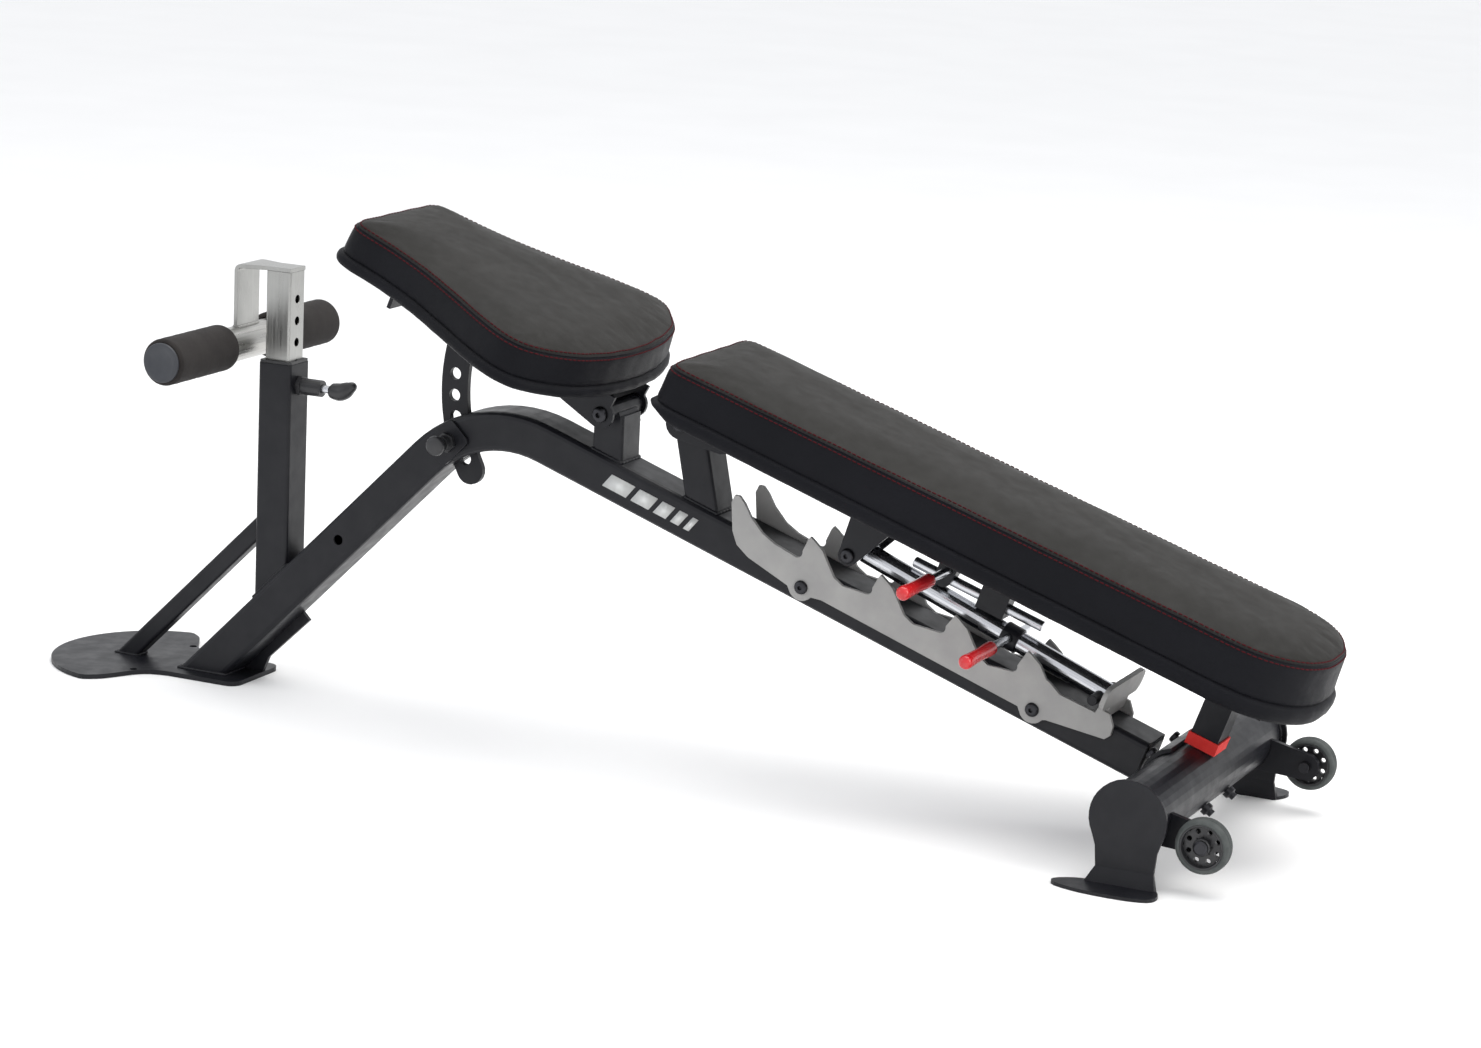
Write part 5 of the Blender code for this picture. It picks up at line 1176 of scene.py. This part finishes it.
def tube_end_cap():
    """The moulded plug that closes the rear end of the main tube."""
    along = Vector((math.cos(REAR_SLOPE), 0, -math.sin(REAR_SLOPE)))
    mesh = frame["nodes"]["main_tube"].data
    reach = max(v.co.dot(along) for v in mesh.vertices)
    end = [v.co for v in mesh.vertices if v.co.dot(along) > reach - 0.001]
    middle = sum(end, Vector()) / len(end)
    up = Vector((math.sin(REAR_SLOPE), 0, math.cos(REAR_SLOPE)))
    half_y = max(abs(p.y) for p in end) - 0.0032
    half_n = max(abs((p - middle).dot(up)) for p in end) - 0.0032
    rings = []
    bm = bmesh.new()
    for depth, grow in ((-0.006, 0.0), (0.0004, 0.0), (0.0012, -0.0008), (0.0015, -0.0024)):
        ring = []
        for y, n, start in ((1, 1, 0), (-1, 1, 90), (-1, -1, 180), (1, -1, 270)):
            for a in turns(start, start + 90, 5):
                side = y * (half_y + grow - 0.004) + 0.004 * math.cos(a)
                rise = n * (half_n + grow - 0.004) + 0.004 * math.sin(a)
                ring.append(bm.verts.new(middle + along * depth + up * rise + Vector((0, side, 0))))
        rings.append(ring)
    skin(bm, rings)
    new_piece("tube_end_cap", bm, PLASTIC, "frame", smooth=35)


def side_mark():
    """A plain printed mark of slanted bars on the near side of the main tube."""
    low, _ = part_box("main_tube")
    y = low[1] - 0.00012
    bm = bmesh.new()
    along = Vector((math.cos(REAR_SLOPE), 0, -math.sin(REAR_SLOPE)))
    up = Vector((math.sin(REAR_SLOPE), 0, math.cos(REAR_SLOPE)))
    start = MARK_START
    for length in (0.0340, 0.0260, 0.0180, 0.0120, 0.0080):
        corners = []
        for a, b in ((0, -0.0092), (length, -0.0092), (length + 0.007, 0.0092), (0.007, 0.0092)):
            corners.append(start + along * a + up * b)
        rings = [[bm.verts.new((p.x, yy, p.z)) for p in corners] for yy in (y, y + 0.0002)]
        join_rings(bm, *rings)
        bm.faces.new(rings[0])
        bm.faces.new(rings[1])
        start = start + along * (length + 0.0065)
    new_piece("side_mark", bm, MARK, "frame", smooth=None)


MARK_START = Vector((-0.068, 0, REAR_LINE + 0.068 * math.tan(REAR_SLOPE) - 0.0259))


# ---------------------------------------------------------------- carried-over steel


def paint_cad():
    """Better materials on the CAD nodes that keep their shape."""
    by_slot = {
        "black_paint": BLACK,
        "grey_paint": GREY,
        "zinc": ZINC,
        "chrome": CHROME,
        "black_bolt": BOLT,
        "black_vinyl": VINYL_SIDE_SHADED,
        "plywood": DUST_COVER,
        "foam": FOAM,
        "tyre": TREAD,
        "black_plastic": PLASTIC,
        "red_rubber": RED_RUBBER,
        "red_plastic": RED,
    }
    slots = {part["node"]: part["material_slot"] for part in frame["record"]["subparts"]}
    for name, obj in frame["nodes"].items():
        material = by_slot[slots[name]]
        if name == "roller_tube":
            material = ZINC_ROUND
        obj.data.materials.clear()
        obj.data.materials.append(material)


# ---------------------------------------------------------------- stage


def stage():
    bm = bmesh.new()
    size = 30.0
    corners = ((-size, -size, 0), (size, -size, 0), (size, size, 0), (-size, size, 0))
    bm.faces.new([bm.verts.new(p) for p in corners])
    floor = new_piece("floor", bm, floor_paint("pale_floor"), smooth=None)
    world = bpy.data.worlds.new("studio")
    bpy.context.scene.world = world
    world.use_nodes = True
    background = world.node_tree.nodes["Background"]
    background.inputs["Color"].default_value = (0.97, 0.98, 1.0, 1.0)
    background.inputs["Strength"].default_value = 1.0
    bpy.context.scene.view_settings.view_transform = "Standard"
    for name, place, size, power, colour in (
        ("top_soft_box", (0.5, 0.7, 3.4), 3.2, 95, (1.0, 0.985, 0.96)),
        ("rear_soft_box", (3.6, -0.4, 1.7), 2.2, 45, (1.0, 0.98, 0.95)),
        ("front_strip", (-2.6, -2.2, 1.6), 1.4, 8, (0.86, 0.91, 1.0)),
    ):
        light = bpy.data.lights.new(name, "AREA")
        light.shape = "SQUARE"
        light.size = size
        light.energy = power
        light.color = colour
        lamp = bpy.data.objects.new(name, light)
        lamp.location = place
        aim = Vector((0, 0, 0.3)) - Vector(place)
        lamp.rotation_mode = "QUATERNION"
        lamp.rotation_quaternion = aim.to_track_quat("-Z", "Y")
        bpy.context.scene.collection.objects.link(lamp)


def camera():
    """The camera stands to the rear right of the bench, a little above it, very slightly rolled."""
    azimuth, elevation, roll = math.radians(24.476), math.radians(12.649), math.radians(-2.7075)
    level = math.cos(elevation)
    ahead = Vector((-math.sin(azimuth) * level, math.cos(azimuth) * level, -math.sin(elevation)))
    right = Vector((math.cos(azimuth), math.sin(azimuth), 0))
    down = ahead.cross(right)
    across = right * math.cos(roll) + down * math.sin(roll)
    up = right * math.sin(roll) - down * math.cos(roll)
    turn = Matrix([[across[i], up[i], -ahead[i]] for i in range(3)])
    data = bpy.data.cameras.new("camera")
    data.sensor_width = 36
    data.lens = 98.64
    obj = bpy.data.objects.new("camera", data)
    obj.rotation_mode = "QUATERNION"
    obj.rotation_quaternion = turn.to_quaternion()
    obj.location = (2.05445, -4.2941, 1.3516)
    bpy.context.scene.collection.objects.link(obj)
    bpy.context.scene.camera = obj


camera()
stage()
paint_cad()
make_pads()
foam_rollers()
red_grips()
wheels()
post_knob()
seat_knob()
through_bolts()
frame_welds()
roller_welds()
tube_bolt()
tube_end_cap()
side_mark()
